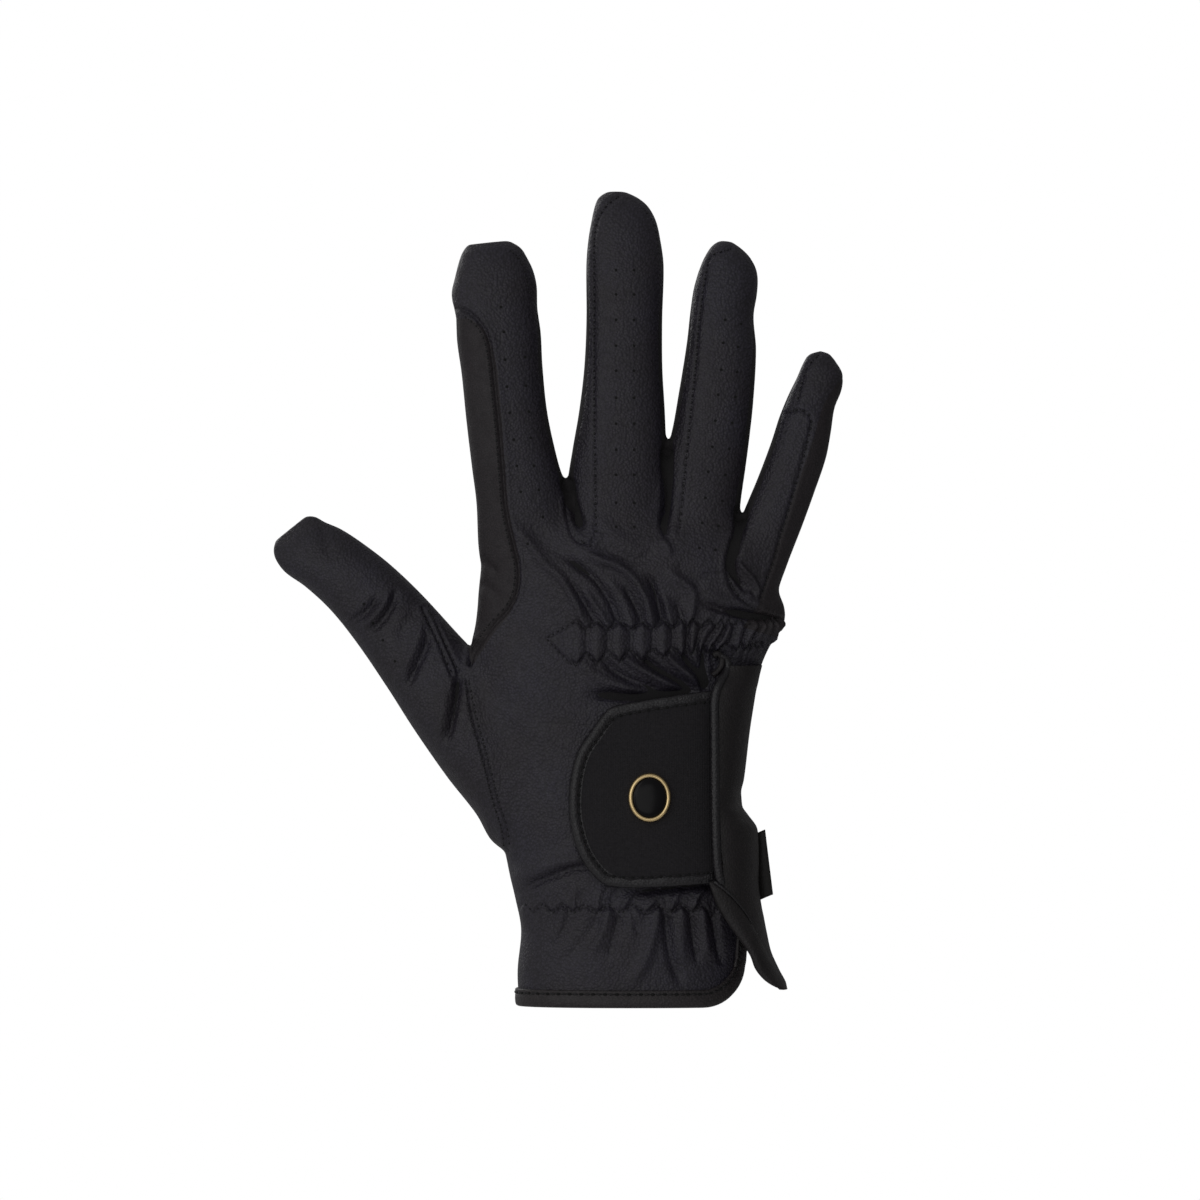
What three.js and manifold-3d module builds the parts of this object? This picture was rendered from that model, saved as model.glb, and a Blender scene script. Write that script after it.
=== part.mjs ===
// A right-hand riding glove in soft black synthetic leather, filled out as on a hand.
// +Z points to the fingertips, the back of the hand faces -Y and the thumb points to -X.
// The origin is the centre of the cuff's mouth, where the wrist goes in. All sizes are in millimetres.
//
// The glove is a thin wall sewn from panels: back, palm, thumb, index side panel, a rein patch on the
// little finger and three fourchettes between the fingers. On it sit the wrist strap with its binding and
// oval badge, the side flap that the strap comes out of, the bound hem, the slit piping and a bare side tag.
import * as THREE from "three";
import { mergeVertices } from "three/addons/utils/BufferGeometryUtils.js";
import Module from "manifold-3d";

const wasm = await Module();
wasm.setup();

// Driving dimensions
const WALL = 1.4; // leather and its backing
const SEAM_GAP = 0.3; // between two pieces that meet
const HAND_LENGTH = 142; // hem to the webs between the fingers
const HAND_WIDTH = 88; // across the knuckles
const HAND_DEPTH = 32; // back to palm
const FINGER_BEND = 13; // how far the middle fingertip leans towards the palm
const THUMB_BEND = 15; // the same for the thumb
const INDEX_LENGTH = 93;
const INDEX_HALF_WIDTH = 12;
const MIDDLE_LENGTH = 107.5;
const MIDDLE_HALF_WIDTH = 11.2;
const RING_LENGTH = 96;
const RING_HALF_WIDTH = 10.6;
const LITTLE_LENGTH = 77.6;
const LITTLE_HALF_WIDTH = 8.8;
const THUMB_LENGTH = 113.5;
const THUMB_HALF_WIDTH = 11;
const FOURCHETTE_FRONT = 5; // height of a fourchette on the back side of a finger's middle line
const FOURCHETTE_REAR = 4.5; // the same on the palm side
const RUCHE_PITCH = 6.6; // one puff of the gathered band over the knuckles
const RUCHE_RISE = 1.1;
const CUFF_PITCH = 7; // one flute of the gathered cuff
const CUFF_RISE = 1.0;
const HEM_WIDTH = 5;
const HEM_THICKNESS = 0.9;
const CUFF_CORNER = 11.5; // radius of the cuff's round corner at the slit
const STRAP_LENGTH = 41.5; // left end to the flap's edge
const STRAP_HEIGHT = 56.5;
const STRAP_THICKNESS = 1.8;
const STRAP_UNDER_FLAP = 3.5;
const BINDING_WIDTH = 3.8;
const BINDING_PROUD = 0.5; // above and below the strap it edges
const PAD_THICKNESS = 1.1; // the hook-and-loop pad under the strap
const PAD_MARGIN = 7; // in from the strap's edge
const BADGE_WIDTH = 12.4;
const BADGE_HEIGHT = 14.2;
const BADGE_RISE = 1.5;
const BADGE_DOME = 2.1;
const BADGE_RIM = 1.1;
const FLAP_WRAP = 9; // how far the side flap reaches round to the palm
const FLAP_BEAD = 1.7; // radius of its rolled front edge
const PIPING_RADIUS = 0.9;
const TAG_HEIGHT = 19.5;
const TAG_REACH = 3.4;
const TAG_THICKNESS = 0.9;

const table = (columns, ...rows) =>
  rows.map((row) => Object.fromEntries(columns.split(" ").map((name, i) => [name, row[i]])));

// Hand sections: up is a share of HAND_LENGTH, left and right of HAND_WIDTH, back and palm of HAND_DEPTH.
const HAND = table(
  "up left right back palm",
  [0, 0.398, 0.352, 0.656, 0.656],
  [0.07, 0.404, 0.352, 0.64, 0.64],
  [0.155, 0.392, 0.365, 0.625, 0.625],
  [0.218, 0.411, 0.38, 0.608, 0.61],
  [0.268, 0.43, 0.385, 0.61, 0.625],
  [0.34, 0.453, 0.38, 0.61, 0.64],
  [0.41, 0.478, 0.365, 0.585, 0.64],
  [0.528, 0.511, 0.358, 0.531, 0.61],
  [0.62, 0.54, 0.378, 0.5, 0.578],
  [0.683, 0.555, 0.395, 0.488, 0.556],
  [0.732, 0.557, 0.427, 0.478, 0.531],
  [0.775, 0.543, 0.472, 0.475, 0.516],
  [0.81, 0.536, 0.477, 0.469, 0.516],
  [0.845, 0.532, 0.458, 0.463, 0.5],
  [0.88, 0.526, 0.466, 0.453, 0.484],
  [0.915, 0.518, 0.466, 0.4375, 0.453],
  [0.958, 0.477, 0.409, 0.375, 0.39],
  [0.985, 0.42, 0.34, 0.297, 0.3125],
  [1, 0.34, 0.27, 0.156, 0.156],
);

// Finger sections: at is a share of the finger's length from its root, the others of its half width.
const SECTION = "at left right deep";
const INDEX_ROWS = table(
  SECTION,
  [-0.15, 0.6, 0.6, 0.7],
  [0, 0.97, 1.3, 0.88],
  [0.2, 0.93, 1.27, 0.86],
  [0.3, 0.95, 1.13, 0.83],
  [0.45, 0.97, 1.0, 0.81],
  [0.6, 0.97, 1, 0.8],
  [0.7, 1.0, 1.04, 0.8],
  [0.78, 0.97, 1.02, 0.78],
  [0.85, 1.02, 1.06, 0.77],
  [0.9, 0.9, 1.01, 0.73],
  [0.94, 0.79, 0.9, 0.66],
  [0.975, 0.67, 0.76, 0.55],
  [1, 0.52, 0.5, 0.3],
);
const MIDDLE_ROWS = table(
  SECTION,
  [-0.15, 0.6, 0.6, 0.7],
  [0, 1.35, 1.2, 0.92],
  [0.2, 1.35, 1.25, 0.9],
  [0.3, 1.22, 1.21, 0.9],
  [0.4, 1.06, 1.17, 0.88],
  [0.52, 0.93, 1.1, 0.86],
  [0.65, 0.88, 1.09, 0.85],
  [0.8, 0.89, 1.12, 0.85],
  [0.87, 0.84, 1.03, 0.81],
  [0.92, 0.76, 0.92, 0.74],
  [0.96, 0.68, 0.71, 0.6],
  [0.985, 0.57, 0.42, 0.42],
  [1, 0.35, 0.1, 0.2],
);
const RING_ROWS = table(
  SECTION,
  [-0.15, 0.6, 0.6, 0.7],
  [0, 1.3, 1, 0.94],
  [0.2, 1.3, 0.97, 0.9],
  [0.32, 1.25, 1.02, 0.89],
  [0.4, 1.09, 1.05, 0.88],
  [0.52, 0.99, 1.07, 0.87],
  [0.68, 0.89, 1.02, 0.85],
  [0.78, 0.87, 0.87, 0.83],
  [0.85, 0.83, 0.91, 0.8],
  [0.91, 0.72, 0.87, 0.73],
  [0.955, 0.58, 0.65, 0.6],
  [0.985, 0.42, 0.33, 0.4],
  [1, 0.24, 0.08, 0.2],
);
const LITTLE_ROWS = table(
  SECTION,
  [-0.15, 0.6, 0.6, 0.7],
  [0, 1.3, 0.8, 1.05],
  [0.07, 1.3, 0.58, 1.02],
  [0.2, 1.28, 0.62, 0.97],
  [0.35, 1.23, 0.74, 0.94],
  [0.48, 1.1, 0.82, 0.91],
  [0.62, 1.0, 0.88, 0.9],
  [0.72, 0.97, 0.8, 0.87],
  [0.81, 0.88, 0.7, 0.83],
  [0.88, 0.77, 0.76, 0.77],
  [0.94, 0.7, 0.65, 0.66],
  [0.975, 0.6, 0.35, 0.48],
  [1, 0.28, 0.05, 0.2],
);
const THUMB_ROWS = table(
  SECTION,
  [-0.03, 0.5, 1.2, 1.1],
  [0.02, 0.66, 1.35, 1.18],
  [0.06, 0.73, 1.5, 1.25],
  [0.13, 0.61, 1.68, 1.33],
  [0.25, 0.6, 1.9, 1.35],
  [0.4, 0.5, 2.07, 1.22],
  [0.52, 0.37, 1.98, 1.05],
  [0.66, 0.26, 1.88, 0.94],
  [0.77, 0.26, 1.72, 0.91],
  [0.86, 0.4, 1.49, 0.88],
  [0.92, 0.58, 1.28, 0.81],
  [0.96, 0.57, 1.06, 0.67],
  [0.985, 0.46, 0.96, 0.48],
  [1, 0.26, 0.8, 0.26],
);

// Each root is a share of HAND_WIDTH across and of HAND_LENGTH up, and lean is in degrees to the right.
const FINGERS = {
  index: { x: -0.392, z: 0.908, length: INDEX_LENGTH, half: INDEX_HALF_WIDTH, lean: -5.9, rows: INDEX_ROWS },
  middle: { x: -0.069, z: 0.908, length: MIDDLE_LENGTH, half: MIDDLE_HALF_WIDTH, lean: 0.3, rows: MIDDLE_ROWS },
  ring: { x: 0.194, z: 0.889, length: RING_LENGTH, half: RING_HALF_WIDTH, lean: 5.2, rows: RING_ROWS },
  little: { x: 0.378, z: 0.807, length: LITTLE_LENGTH, half: LITTLE_HALF_WIDTH, lean: 16, rows: LITTLE_ROWS },
  thumb: { x: -0.375, z: 0.338, length: THUMB_LENGTH, half: THUMB_HALF_WIDTH, lean: -38.7, rows: THUMB_ROWS },
};

// Main folds on the back of the glove: from and to as shares of HAND_WIDTH and HAND_LENGTH, rise in
// millimetres, negative for a crease, and its half width.
const FOLDS = table(
  "x0 z0 x1 z1 rise width",
  [-0.4, 0.925, -0.22, 0.815, 0.8, 2.6],
  [-0.22, 0.9, -0.075, 0.785, 0.9, 2.4],
  [-0.19, 0.925, 0.02, 0.855, 1.1, 2.6],
  [0.02, 0.855, 0.055, 0.79, 1, 2.4],
  [-0.16, 0.885, -0.03, 0.8, -0.7, 2],
  [0.1, 0.69, 0.22, 0.652, 1, 1.8],
  [-0.02, 0.685, 0.15, 0.65, 0.9, 1.8],
  [-0.4, 0.27, -0.2, 0.322, 1.2, 3],
  [-0.36, 0.25, -0.18, 0.29, -0.6, 1.8],
  [-0.615, 0.55, -0.6, 0.63, -0.8, 2.4],
  [-0.78, 0.66, -0.69, 0.74, -0.8, 2],
  [-0.95, 0.79, -0.87, 0.84, -0.8, 2],
  [-0.87, 0.78, -0.81, 0.82, -0.7, 2],
  [0.4, 0.79, 0.48, 0.792, -0.7, 1.6],
  [0.3, 0.86, 0.37, 0.815, 0.8, 1.4],
);

const smooth = (t) => {
  const s = Math.min(1, Math.max(0, t));
  return s * s * (3 - 2 * s);
};

// Reads one column of a table at any position, on a smooth curve through its rows.
function read(rows, key, at, column) {
  const last = rows.length - 1;
  let i = rows.findIndex((row) => row[key] >= at);
  i = i < 0 ? last : Math.max(1, i);
  const slope = (k) => {
    const a = rows[Math.max(0, k - 1)];
    const b = rows[Math.min(last, k + 1)];
    return (b[column] - a[column]) / (b[key] - a[key]);
  };
  const low = rows[i - 1];
  const high = rows[i];
  const span = high[key] - low[key];
  const t = Math.min(1, Math.max(0, (at - low[key]) / span));
  const t2 = t * t;
  const t3 = t2 * t;
  return (
    (2 * t3 - 3 * t2 + 1) * low[column] +
    (t3 - 2 * t2 + t) * span * slope(i - 1) +
    (3 * t2 - 2 * t3) * high[column] +
    (t3 - t2) * span * slope(i)
  );
}

// The middle surface of the hand and its four fingers bends towards the palm above the knuckles.
const KNUCKLE = 0.86 * HAND_LENGTH;
const TOP = HAND_LENGTH * FINGERS.middle.z + MIDDLE_LENGTH;
const bend = (z) => FINGER_BEND * (Math.max(0, z - KNUCKLE) / (TOP - KNUCKLE)) ** 2;
const thumbBend = (share) => 1 + THUMB_BEND * share ** 1.5;

const handX = (share) => share * HAND_WIDTH;
const handZ = (share) => share * HAND_LENGTH;
const handSize = (z, column) => read(HAND, "up", z / HAND_LENGTH, column);

// A point in a finger's own frame: along is from its root, across is to the right of its chord.
function fingerPoint(spec, along, across) {
  const lean = THREE.MathUtils.degToRad(spec.lean);
  return new THREE.Vector2(
    handX(spec.x) + along * Math.sin(lean) + across * Math.cos(lean),
    handZ(spec.z) + along * Math.cos(lean) - across * Math.sin(lean),
  );
}

// A point of a seam given in a finger's shares: at along its length, side of its half width.
const seamPoint = (spec, row) => fingerPoint(spec, row.at * spec.length, row.side * spec.half);

// A section is a rounded box: one exponent gives the width at a depth and the depth at a width.
const BOXINESS = 2.35;
const rounded = (share) => (1 - Math.min(1, Math.abs(share)) ** BOXINESS) ** (1 / BOXINESS);

// Where the skin of the hand lies: its front at a point of the X-Z plane, its right side at a depth.
function skinY(x, z) {
  const left = handX(handSize(z, "left"));
  const right = handX(handSize(z, "right"));
  const share = (x - (right - left) / 2) / ((left + right) / 2);
  return bend(z) - HAND_DEPTH * handSize(z, "back") * rounded(share);
}
const aboveSkin = (x, z, lift) => skinY(x, z) - lift * Math.hypot(1, skinY(x + 0.5, z) - skinY(x - 0.5, z));
function skinRight(y, z) {
  const left = handX(handSize(z, "left"));
  const right = handX(handSize(z, "right"));
  const depth = HAND_DEPTH * handSize(z, y < 0 ? "back" : "palm");
  return (right - left) / 2 + ((left + right) / 2) * rounded(y / depth);
}

// Strap outline: across is a share of STRAP_LENGTH from its left end, up of STRAP_HEIGHT from its foot.
const STRAP_LEFT = handX(-0.235);
const STRAP_LOW = handZ(0.245);
const STRAP_OUTLINE = table(
  "across up",
  [1.4, 1.02],
  [1, 1],
  [0.64, 0.965],
  [0.31, 0.92],
  [0.245, 0.885],
  [0.15, 0.79],
  [0.065, 0.694],
  [0.017, 0.57],
  [0, 0.427],
  [0.017, 0.303],
  [0.08, 0.159],
  [0.185, 0.051],
  [0.283, 0.004],
  [0.64, 0],
  [1, 0.02],
  [1.4, 0.03],
);
const strapHigh = STRAP_LOW + STRAP_HEIGHT;
const strapRight = STRAP_LEFT + STRAP_LENGTH;

// How far folds, puffs and flutes lift the leather at a point of the glove's back.
const RUCHE_LOW = handZ(0.7);
const RUCHE_HIGH = handZ(0.775);
const RUCHE_LEFT = handX(-0.3);
const CUFF_LINE = handZ(0.197);
const FLUTE_DROP = 16;
const FLUTE_CLIMB = 6;
const CORNER_RIGHT = handX(0.336); // the cuff's edge beside the slit

function relief(x, z) {
  const sideways = smooth((x - STRAP_LEFT + 5) / 4) * smooth((strapRight + 6 - x) / 3);
  const underStrap = sideways * smooth((z - STRAP_LOW + 3) / 3) * smooth((strapHigh + 3 - z) / 3);
  let rise = 0;
  for (const fold of FOLDS) {
    const start = new THREE.Vector2(handX(fold.x0), handZ(fold.z0));
    const run = new THREE.Vector2(handX(fold.x1), handZ(fold.z1)).sub(start);
    const point = new THREE.Vector2(x, z).sub(start);
    const share = Math.min(1, Math.max(0, point.dot(run) / run.lengthSq()));
    const away = point.sub(run.multiplyScalar(share)).length() / fold.width;
    rise += fold.rise * Math.exp(-away * away);
  }
  const inRuche = smooth((z - RUCHE_LOW) / 2.5) * smooth((RUCHE_HIGH - z) / 2.5) * smooth((x - RUCHE_LEFT) / 8);
  rise += RUCHE_RISE * inRuche * Math.cos((Math.PI * (x - RUCHE_LEFT)) / RUCHE_PITCH) ** 2;
  const below = smooth((z - CUFF_LINE + FLUTE_DROP) / FLUTE_DROP) * smooth((CUFF_LINE - z) / 2);
  const above = smooth((CUFF_LINE + FLUTE_CLIMB - z) / FLUTE_CLIMB) * smooth((z - CUFF_LINE) / 2);
  const besideSlit = smooth((CORNER_RIGHT - HEM_WIDTH - x) / 3);
  rise += CUFF_RISE * (below + above) * besideSlit * Math.cos((Math.PI * x) / CUFF_PITCH) ** 2;
  return rise * (1 - underStrap);
}

// Merged geometry as a manifold solid with its faces pointing out.
function solid(geometry) {
  const bare = new THREE.BufferGeometry().setAttribute("position", geometry.getAttribute("position"));
  if (geometry.index) bare.setIndex(geometry.index);
  const merged = mergeVertices(bare, 1e-4);
  const data = {
    numProp: 3,
    vertProperties: new Float32Array(merged.attributes.position.array),
    triVerts: new Uint32Array(merged.index.array),
  };
  const made = new wasm.Manifold(new wasm.Mesh(data));
  if (made.volume() > 0) return made;
  for (let i = 0; i < data.triVerts.length; i += 3) {
    const keep = data.triVerts[i + 1];
    data.triVerts[i + 1] = data.triVerts[i + 2];
    data.triVerts[i + 2] = keep;
  }
  return new wasm.Manifold(new wasm.Mesh(data));
}

// A closed tube through rings of points, all of one length.
function skin(rings) {
  const columns = rings[0].length;
  const middle = (ring) => ring.reduce((a, p) => a.add(p), new THREE.Vector3()).divideScalar(columns);
  const points = [...rings.flat(), middle(rings[0]), middle(rings[rings.length - 1])];
  const start = points.length - 2;
  const faces = [];
  for (let c = 0; c < columns; c++) {
    const d = (c + 1) % columns;
    const last = (rings.length - 1) * columns;
    faces.push(start, c, d, start + 1, last + d, last + c);
    for (let r = 0; r + 1 < rings.length; r++) {
      const a = r * columns;
      const b = a + columns;
      faces.push(a + c, b + c, b + d, a + c, b + d, a + d);
    }
  }
  const geometry = new THREE.BufferGeometry().setFromPoints(points);
  geometry.setIndex(faces);
  return solid(geometry);
}

// One ring of a rounded-box section. Angles run from the right side over the back to the palm.
function sectionRing({ centre, width, half, front, rear }, angles, lifted) {
  return angles.map((angle) => {
    const c = Math.cos(angle);
    const s = Math.sin(angle);
    const across = Math.sign(c) * Math.abs(c) ** (2 / BOXINESS) * half;
    const deep = Math.abs(s) ** (2 / BOXINESS);
    const p = centre.clone().addScaledVector(width, across);
    p.y += s > 0 ? -deep * front : deep * rear;
    if (lifted && s > 0) {
      const rise = relief(p.x, p.z) * smooth(s * 2);
      p.y -= rise * s;
      p.addScaledVector(width, (rise * c) / 2);
    }
    return p;
  });
}

// Angles that space columns evenly along a section of the hand's proportions, over the back and over the palm.
function columnAngles(overBack, overPalm) {
  const fine = 720;
  const point = (k) => {
    const angle = (Math.PI * k) / fine;
    const across = Math.sign(Math.cos(angle)) * Math.abs(Math.cos(angle)) ** (2 / BOXINESS);
    return new THREE.Vector2((across * HAND_WIDTH) / 2, (Math.sin(angle) ** (2 / BOXINESS) * HAND_DEPTH) / 2);
  };
  const lengths = [0];
  for (let k = 1; k <= fine; k++) lengths.push(lengths[k - 1] + point(k).distanceTo(point(k - 1)));
  const spread = (count) =>
    Array.from({ length: count }, (_, i) => {
      const wanted = (lengths[fine] * i) / count;
      return (Math.PI * lengths.findIndex((length) => length >= wanted)) / fine;
    });
  return [...spread(overBack), ...spread(overPalm).map((angle) => angle + Math.PI)];
}

const FINE = { angles: columnAngles(29, 5), levels: fineLevels() };
const COARSE = { angles: columnAngles(9, 5), levels: [0, 0.2, 0.42, 0.7, 0.84, 0.93, 1] };
const AT_STRAP = { angles: columnAngles(22, 4), levels: [0.2, 0.34, 0.48, 0.62, 0.7] };
const OUTSIDE_HEM = { angles: FINE.angles, levels: FINE.levels.slice(0, 7) };
const INSIDE_HEM = { angles: COARSE.angles, levels: COARSE.levels.slice(0, 3) };

// Levels close together where the leather is gathered, wider apart elsewhere.
function fineLevels() {
  const step = (z) => {
    if (z > RUCHE_LOW - 3 && z < RUCHE_HIGH + 3) return 3.4;
    if (z > CUFF_LINE - 5 && z < CUFF_LINE + 4) return 3.8;
    return z > STRAP_LOW + 3 && z < strapHigh - 4 ? 13 : 8;
  };
  const levels = [0];
  let z = 0;
  while (z < handZ(0.94)) {
    z += step(z);
    levels.push(z / HAND_LENGTH);
  }
  return [...levels, 0.985, 1];
}

// The hand from hem to finger webs, grown out by so many millimetres and started lower by drop.
function hand(grown, { angles, levels }, { drop = 0, lifted = false } = {}) {
  const rings = levels.map((up) => {
    const left = handX(read(HAND, "up", up, "left")) + grown;
    const right = handX(read(HAND, "up", up, "right")) + grown;
    const z = handZ(up) + (up === 1 ? Math.min(0, grown) : 0) - (up === 0 ? drop : 0);
    const section = {
      centre: new THREE.Vector3((right - left) / 2, bend(z), z),
      width: new THREE.Vector3(1, 0, 0),
      half: (left + right) / 2,
      front: HAND_DEPTH * read(HAND, "up", up, "back") + grown,
      rear: HAND_DEPTH * read(HAND, "up", up, "palm") + grown,
    };
    return sectionRing(section, angles, lifted);
  });
  return skin(rings);
}

// One finger or the thumb with a ring at each row, or its hollow: fewer rings, a wall inside the skin.
function finger(spec, { sides = 12, rows = spec.rows, thinner = 0, lifted = false } = {}) {
  const lean = THREE.MathUtils.degToRad(spec.lean);
  const width = new THREE.Vector3(Math.cos(lean), 0, -Math.sin(lean));
  const scale = (spec.half - thinner) / spec.half;
  const angles = Array.from({ length: sides }, (_, i) => (2 * Math.PI * i) / sides);
  const rings = rows.map((row) => {
    const middle = ((row.right - row.left) / 2) * spec.half;
    const half = ((row.left + row.right) / 2) * spec.half * scale;
    const deep = row.deep * spec.half * scale;
    const p = fingerPoint(spec, row.at * (spec.length - thinner), middle);
    const y = spec === FINGERS.thumb ? thumbBend(Math.max(0, row.at)) : bend(p.y);
    const centre = new THREE.Vector3(p.x, y, p.y);
    return sectionRing({ centre, width, half, front: deep, rear: deep }, angles, lifted);
  });
  return skin(rings);
}
const everySecond = (rows) => rows.filter((_, i) => i % 2 === 0 || i === rows.length - 1);

// A closed outline moved outwards by so many millimetres, or inwards when it is negative.
function grow(points, by) {
  const turn = THREE.ShapeUtils.area(points) > 0 ? by : -by;
  return points.map((p, i) => {
    const before = p.clone().sub(points[(i + points.length - 1) % points.length]).normalize();
    const after = points[(i + 1) % points.length].clone().sub(p).normalize();
    const middle = before.clone().add(after).normalize();
    const stretch = turn / Math.max(0.4, middle.dot(before));
    return new THREE.Vector2(p.x + middle.y * stretch, p.y - middle.x * stretch);
  });
}

// An outline in the X-Z plane, cut through the glove from one depth to another.
const FAR = 140;
function prism(points, grown = 0, nearest = -FAR, furthest = FAR) {
  const shape = new THREE.Shape(grow(points, grown));
  const geometry = new THREE.ExtrudeGeometry(shape, { depth: furthest - nearest, bevelEnabled: false });
  geometry.rotateX(Math.PI / 2);
  geometry.translate(0, furthest, 0);
  return solid(geometry);
}
const outline = (...pairs) => pairs.map(([x, z]) => new THREE.Vector2(x, z));
const halfPlane = (x, side) => prism(outline([x, -FAR], [x + side * FAR * 2, -FAR], [x + side * FAR * 2, FAR * 2], [x, FAR * 2]));

// Everything in front of the bent middle surface, moved towards the palm by offset.
function frontBlock(offset) {
  const steps = 7;
  const points = outline([offset, -FAR]);
  for (let i = 0; i <= steps; i++) {
    const z = KNUCKLE + ((TOP + 20 - KNUCKLE) * i) / steps;
    points.push(new THREE.Vector2(bend(z) + offset, z));
  }
  points.push(...outline([-FAR, TOP + 20], [-FAR, -FAR]));
  const geometry = new THREE.ExtrudeGeometry(new THREE.Shape(points), { depth: 2 * FAR, bevelEnabled: false });
  // The outline's first axis becomes Y, its second Z, and its depth runs along X.
  geometry.applyMatrix4(new THREE.Matrix4().set(0, 0, 1, -FAR, 1, 0, 0, 0, 0, 1, 0, 0, 0, 0, 0, 1));
  return solid(geometry);
}

const unite = (solids) => solids.reduce((a, b) => a.add(b));

// The side band of a finger, from its middle out past its skin, where a fourchette is sewn in.
const BAND_LOW = -0.12;
const BAND_TOP = 0.95;
function band(spec, side, grown) {
  const steps = 5;
  const rings = Array.from({ length: steps + 1 }, (_, i) => {
    const at = BAND_LOW + ((BAND_TOP - BAND_LOW) * i) / steps;
    const taper = 1 - 0.8 * smooth((at - 0.6) / (BAND_TOP - 0.6));
    const along = at * spec.length + (i === steps ? grown : 0);
    const inner = fingerPoint(spec, along, side * (0.3 * spec.half - grown));
    const outer = fingerPoint(spec, along, side * 1.5 * spec.half);
    const front = FOURCHETTE_FRONT * taper + grown;
    const rear = FOURCHETTE_REAR * taper + grown;
    return [
      new THREE.Vector3(inner.x, bend(inner.y) - front, inner.y),
      new THREE.Vector3(outer.x, bend(outer.y) - front, outer.y),
      new THREE.Vector3(outer.x, bend(outer.y) + rear, outer.y),
      new THREE.Vector3(inner.x, bend(inner.y) + rear, inner.y),
    ];
  });
  return skin(rings);
}

// The index side panel: its seam runs down the index finger and on to the thumb's root.
const INDEX_SEAM = table(
  "at side",
  [0.775, -2.6],
  [0.775, -1],
  [0.765, -0.62],
  [0.73, -0.33],
  [0.674, -0.16],
  [0.6, -0.09],
  [0.5, -0.1],
  [0.35, -0.13],
  [0.19, -0.17],
  [0.096, -0.12],
  [0.017, -0.04],
  [-0.061, -0.05],
  [-0.121, -0.2],
  [-0.172, -0.46],
  [-0.213, -0.8],
  [-0.262, -1.12],
  [-0.305, -1.4],
  [-0.305, -2.6],
);
const INDEX_PANEL = INDEX_SEAM.map((row) => seamPoint(FINGERS.index, row));

// The thumb piece: its seam runs from the crotch down the back of the hand.
const THUMB_SEAM = table(
  "x z",
  [-0.62, 1.1],
  [-0.57, 0.74],
  [-0.553, 0.69],
  [-0.545, 0.66],
  [-0.51, 0.53],
  [-0.47, 0.42],
  [-0.42, 0.32],
  [-1.4, 0.32],
  [-1.4, 1.1],
);
const THUMB_PANEL = THUMB_SEAM.map((row) => new THREE.Vector2(handX(row.x), handZ(row.z)));

// The little finger: one line parts the rein patch on its back from the smooth panel down its outer side.
const PATCH_LINE = table("at side", [-0.075, -0.25], [0.02, 0.06], [0.12, 0.08], [0.3, 0.12], [0.5, 0.2], [0.68, 0.3]);
const PATCH_HEAD = table("at side", [0.75, 0.26], [0.785, 0.06], [0.79, -0.3], [0.785, -1.5], [0.12, -1.7]);
const SIDE_HEAD = table("at side", [0.8, 0.3], [0.86, 0.42], [0.93, 0.7], [0.93, 1.6], [-0.075, 1.8]);
const little = (rows) => rows.map((row) => seamPoint(FINGERS.little, row));
const PATCH_PANEL = little([...PATCH_LINE, ...PATCH_HEAD]);
const LITTLE_SIDE_PANEL = little([...PATCH_LINE, ...SIDE_HEAD]);
const TIP_PANEL = little(table("at side", [0.68, -1.8], [0.68, 1.8], [1.1, 1.8], [1.1, -1.8]));
const LITTLE_SIDE_WRAP = 4;

// What is cut off the wall: all below the hem's round corners and right of the slit.
const SLIT_TOP = handZ(0.706);
const SLIT_FOOT = handZ(0.2);
function beyondHem(inset, edge) {
  const right = CORNER_RIGHT - inset;
  const round = CUFF_CORNER - inset;
  const corner = [];
  for (let i = 0; i <= 6; i++) {
    const angle = (Math.PI / 2) * (1 - i / 6);
    corner.push([right - round + round * Math.sin(angle), inset + round - round * Math.cos(angle)]);
  }
  return prism(outline(...edge, ...corner, [-FAR, inset], [-FAR, -FAR], [FAR, -FAR], [FAR, edge[0][1]]));
}
const slitEdge = (inset) => [
  [handX(0.256) - inset, SLIT_TOP - inset],
  [handX(0.262) - inset, handZ(0.5)],
  [handX(0.285) - inset, handZ(0.3)],
  [handX(0.325) - inset, SLIT_FOOT],
];
const frontCut = (inset) =>
  beyondHem(inset, slitEdge(inset)).intersect(prism(outline([-FAR, -FAR], [FAR, -FAR], [FAR, FAR], [-FAR, FAR]), 0, -FAR, FLAP_WRAP));
const rearCut = (inset) => beyondHem(inset, [[handX(0.345) - inset, SLIT_FOOT + inset]]);

// The skin of the whole glove, the hollow inside it and the wall between them
const fingers = Object.values(FINGERS);
const outside = unite([hand(0, FINE, { lifted: true }), ...fingers.map((spec) => finger(spec, { lifted: true }))]);
const hollow = unite([
  hand(-WALL, COARSE, { drop: 10 }),
  ...fingers.map((spec) => finger(spec, { sides: 8, rows: everySecond(spec.rows), thinner: WALL })),
]);
const gap = SEAM_GAP;
const edgeInset = HEM_THICKNESS + gap;
const wall = outside.subtract(hollow).subtract(frontCut(edgeInset)).subtract(rearCut(edgeInset));

// Panels of the wall
const pairs = [
  ["index", "middle"],
  ["middle", "ring"],
  ["ring", "little"],
];
const bands = (grown) => pairs.map(([a, b]) => unite([band(FINGERS[a], 1, grown), band(FINGERS[b], -1, grown)]));
const sideRegion = (grown) => prism(LITTLE_SIDE_PANEL, grown).intersect(frontBlock(LITTLE_SIDE_WRAP + grown));

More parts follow.
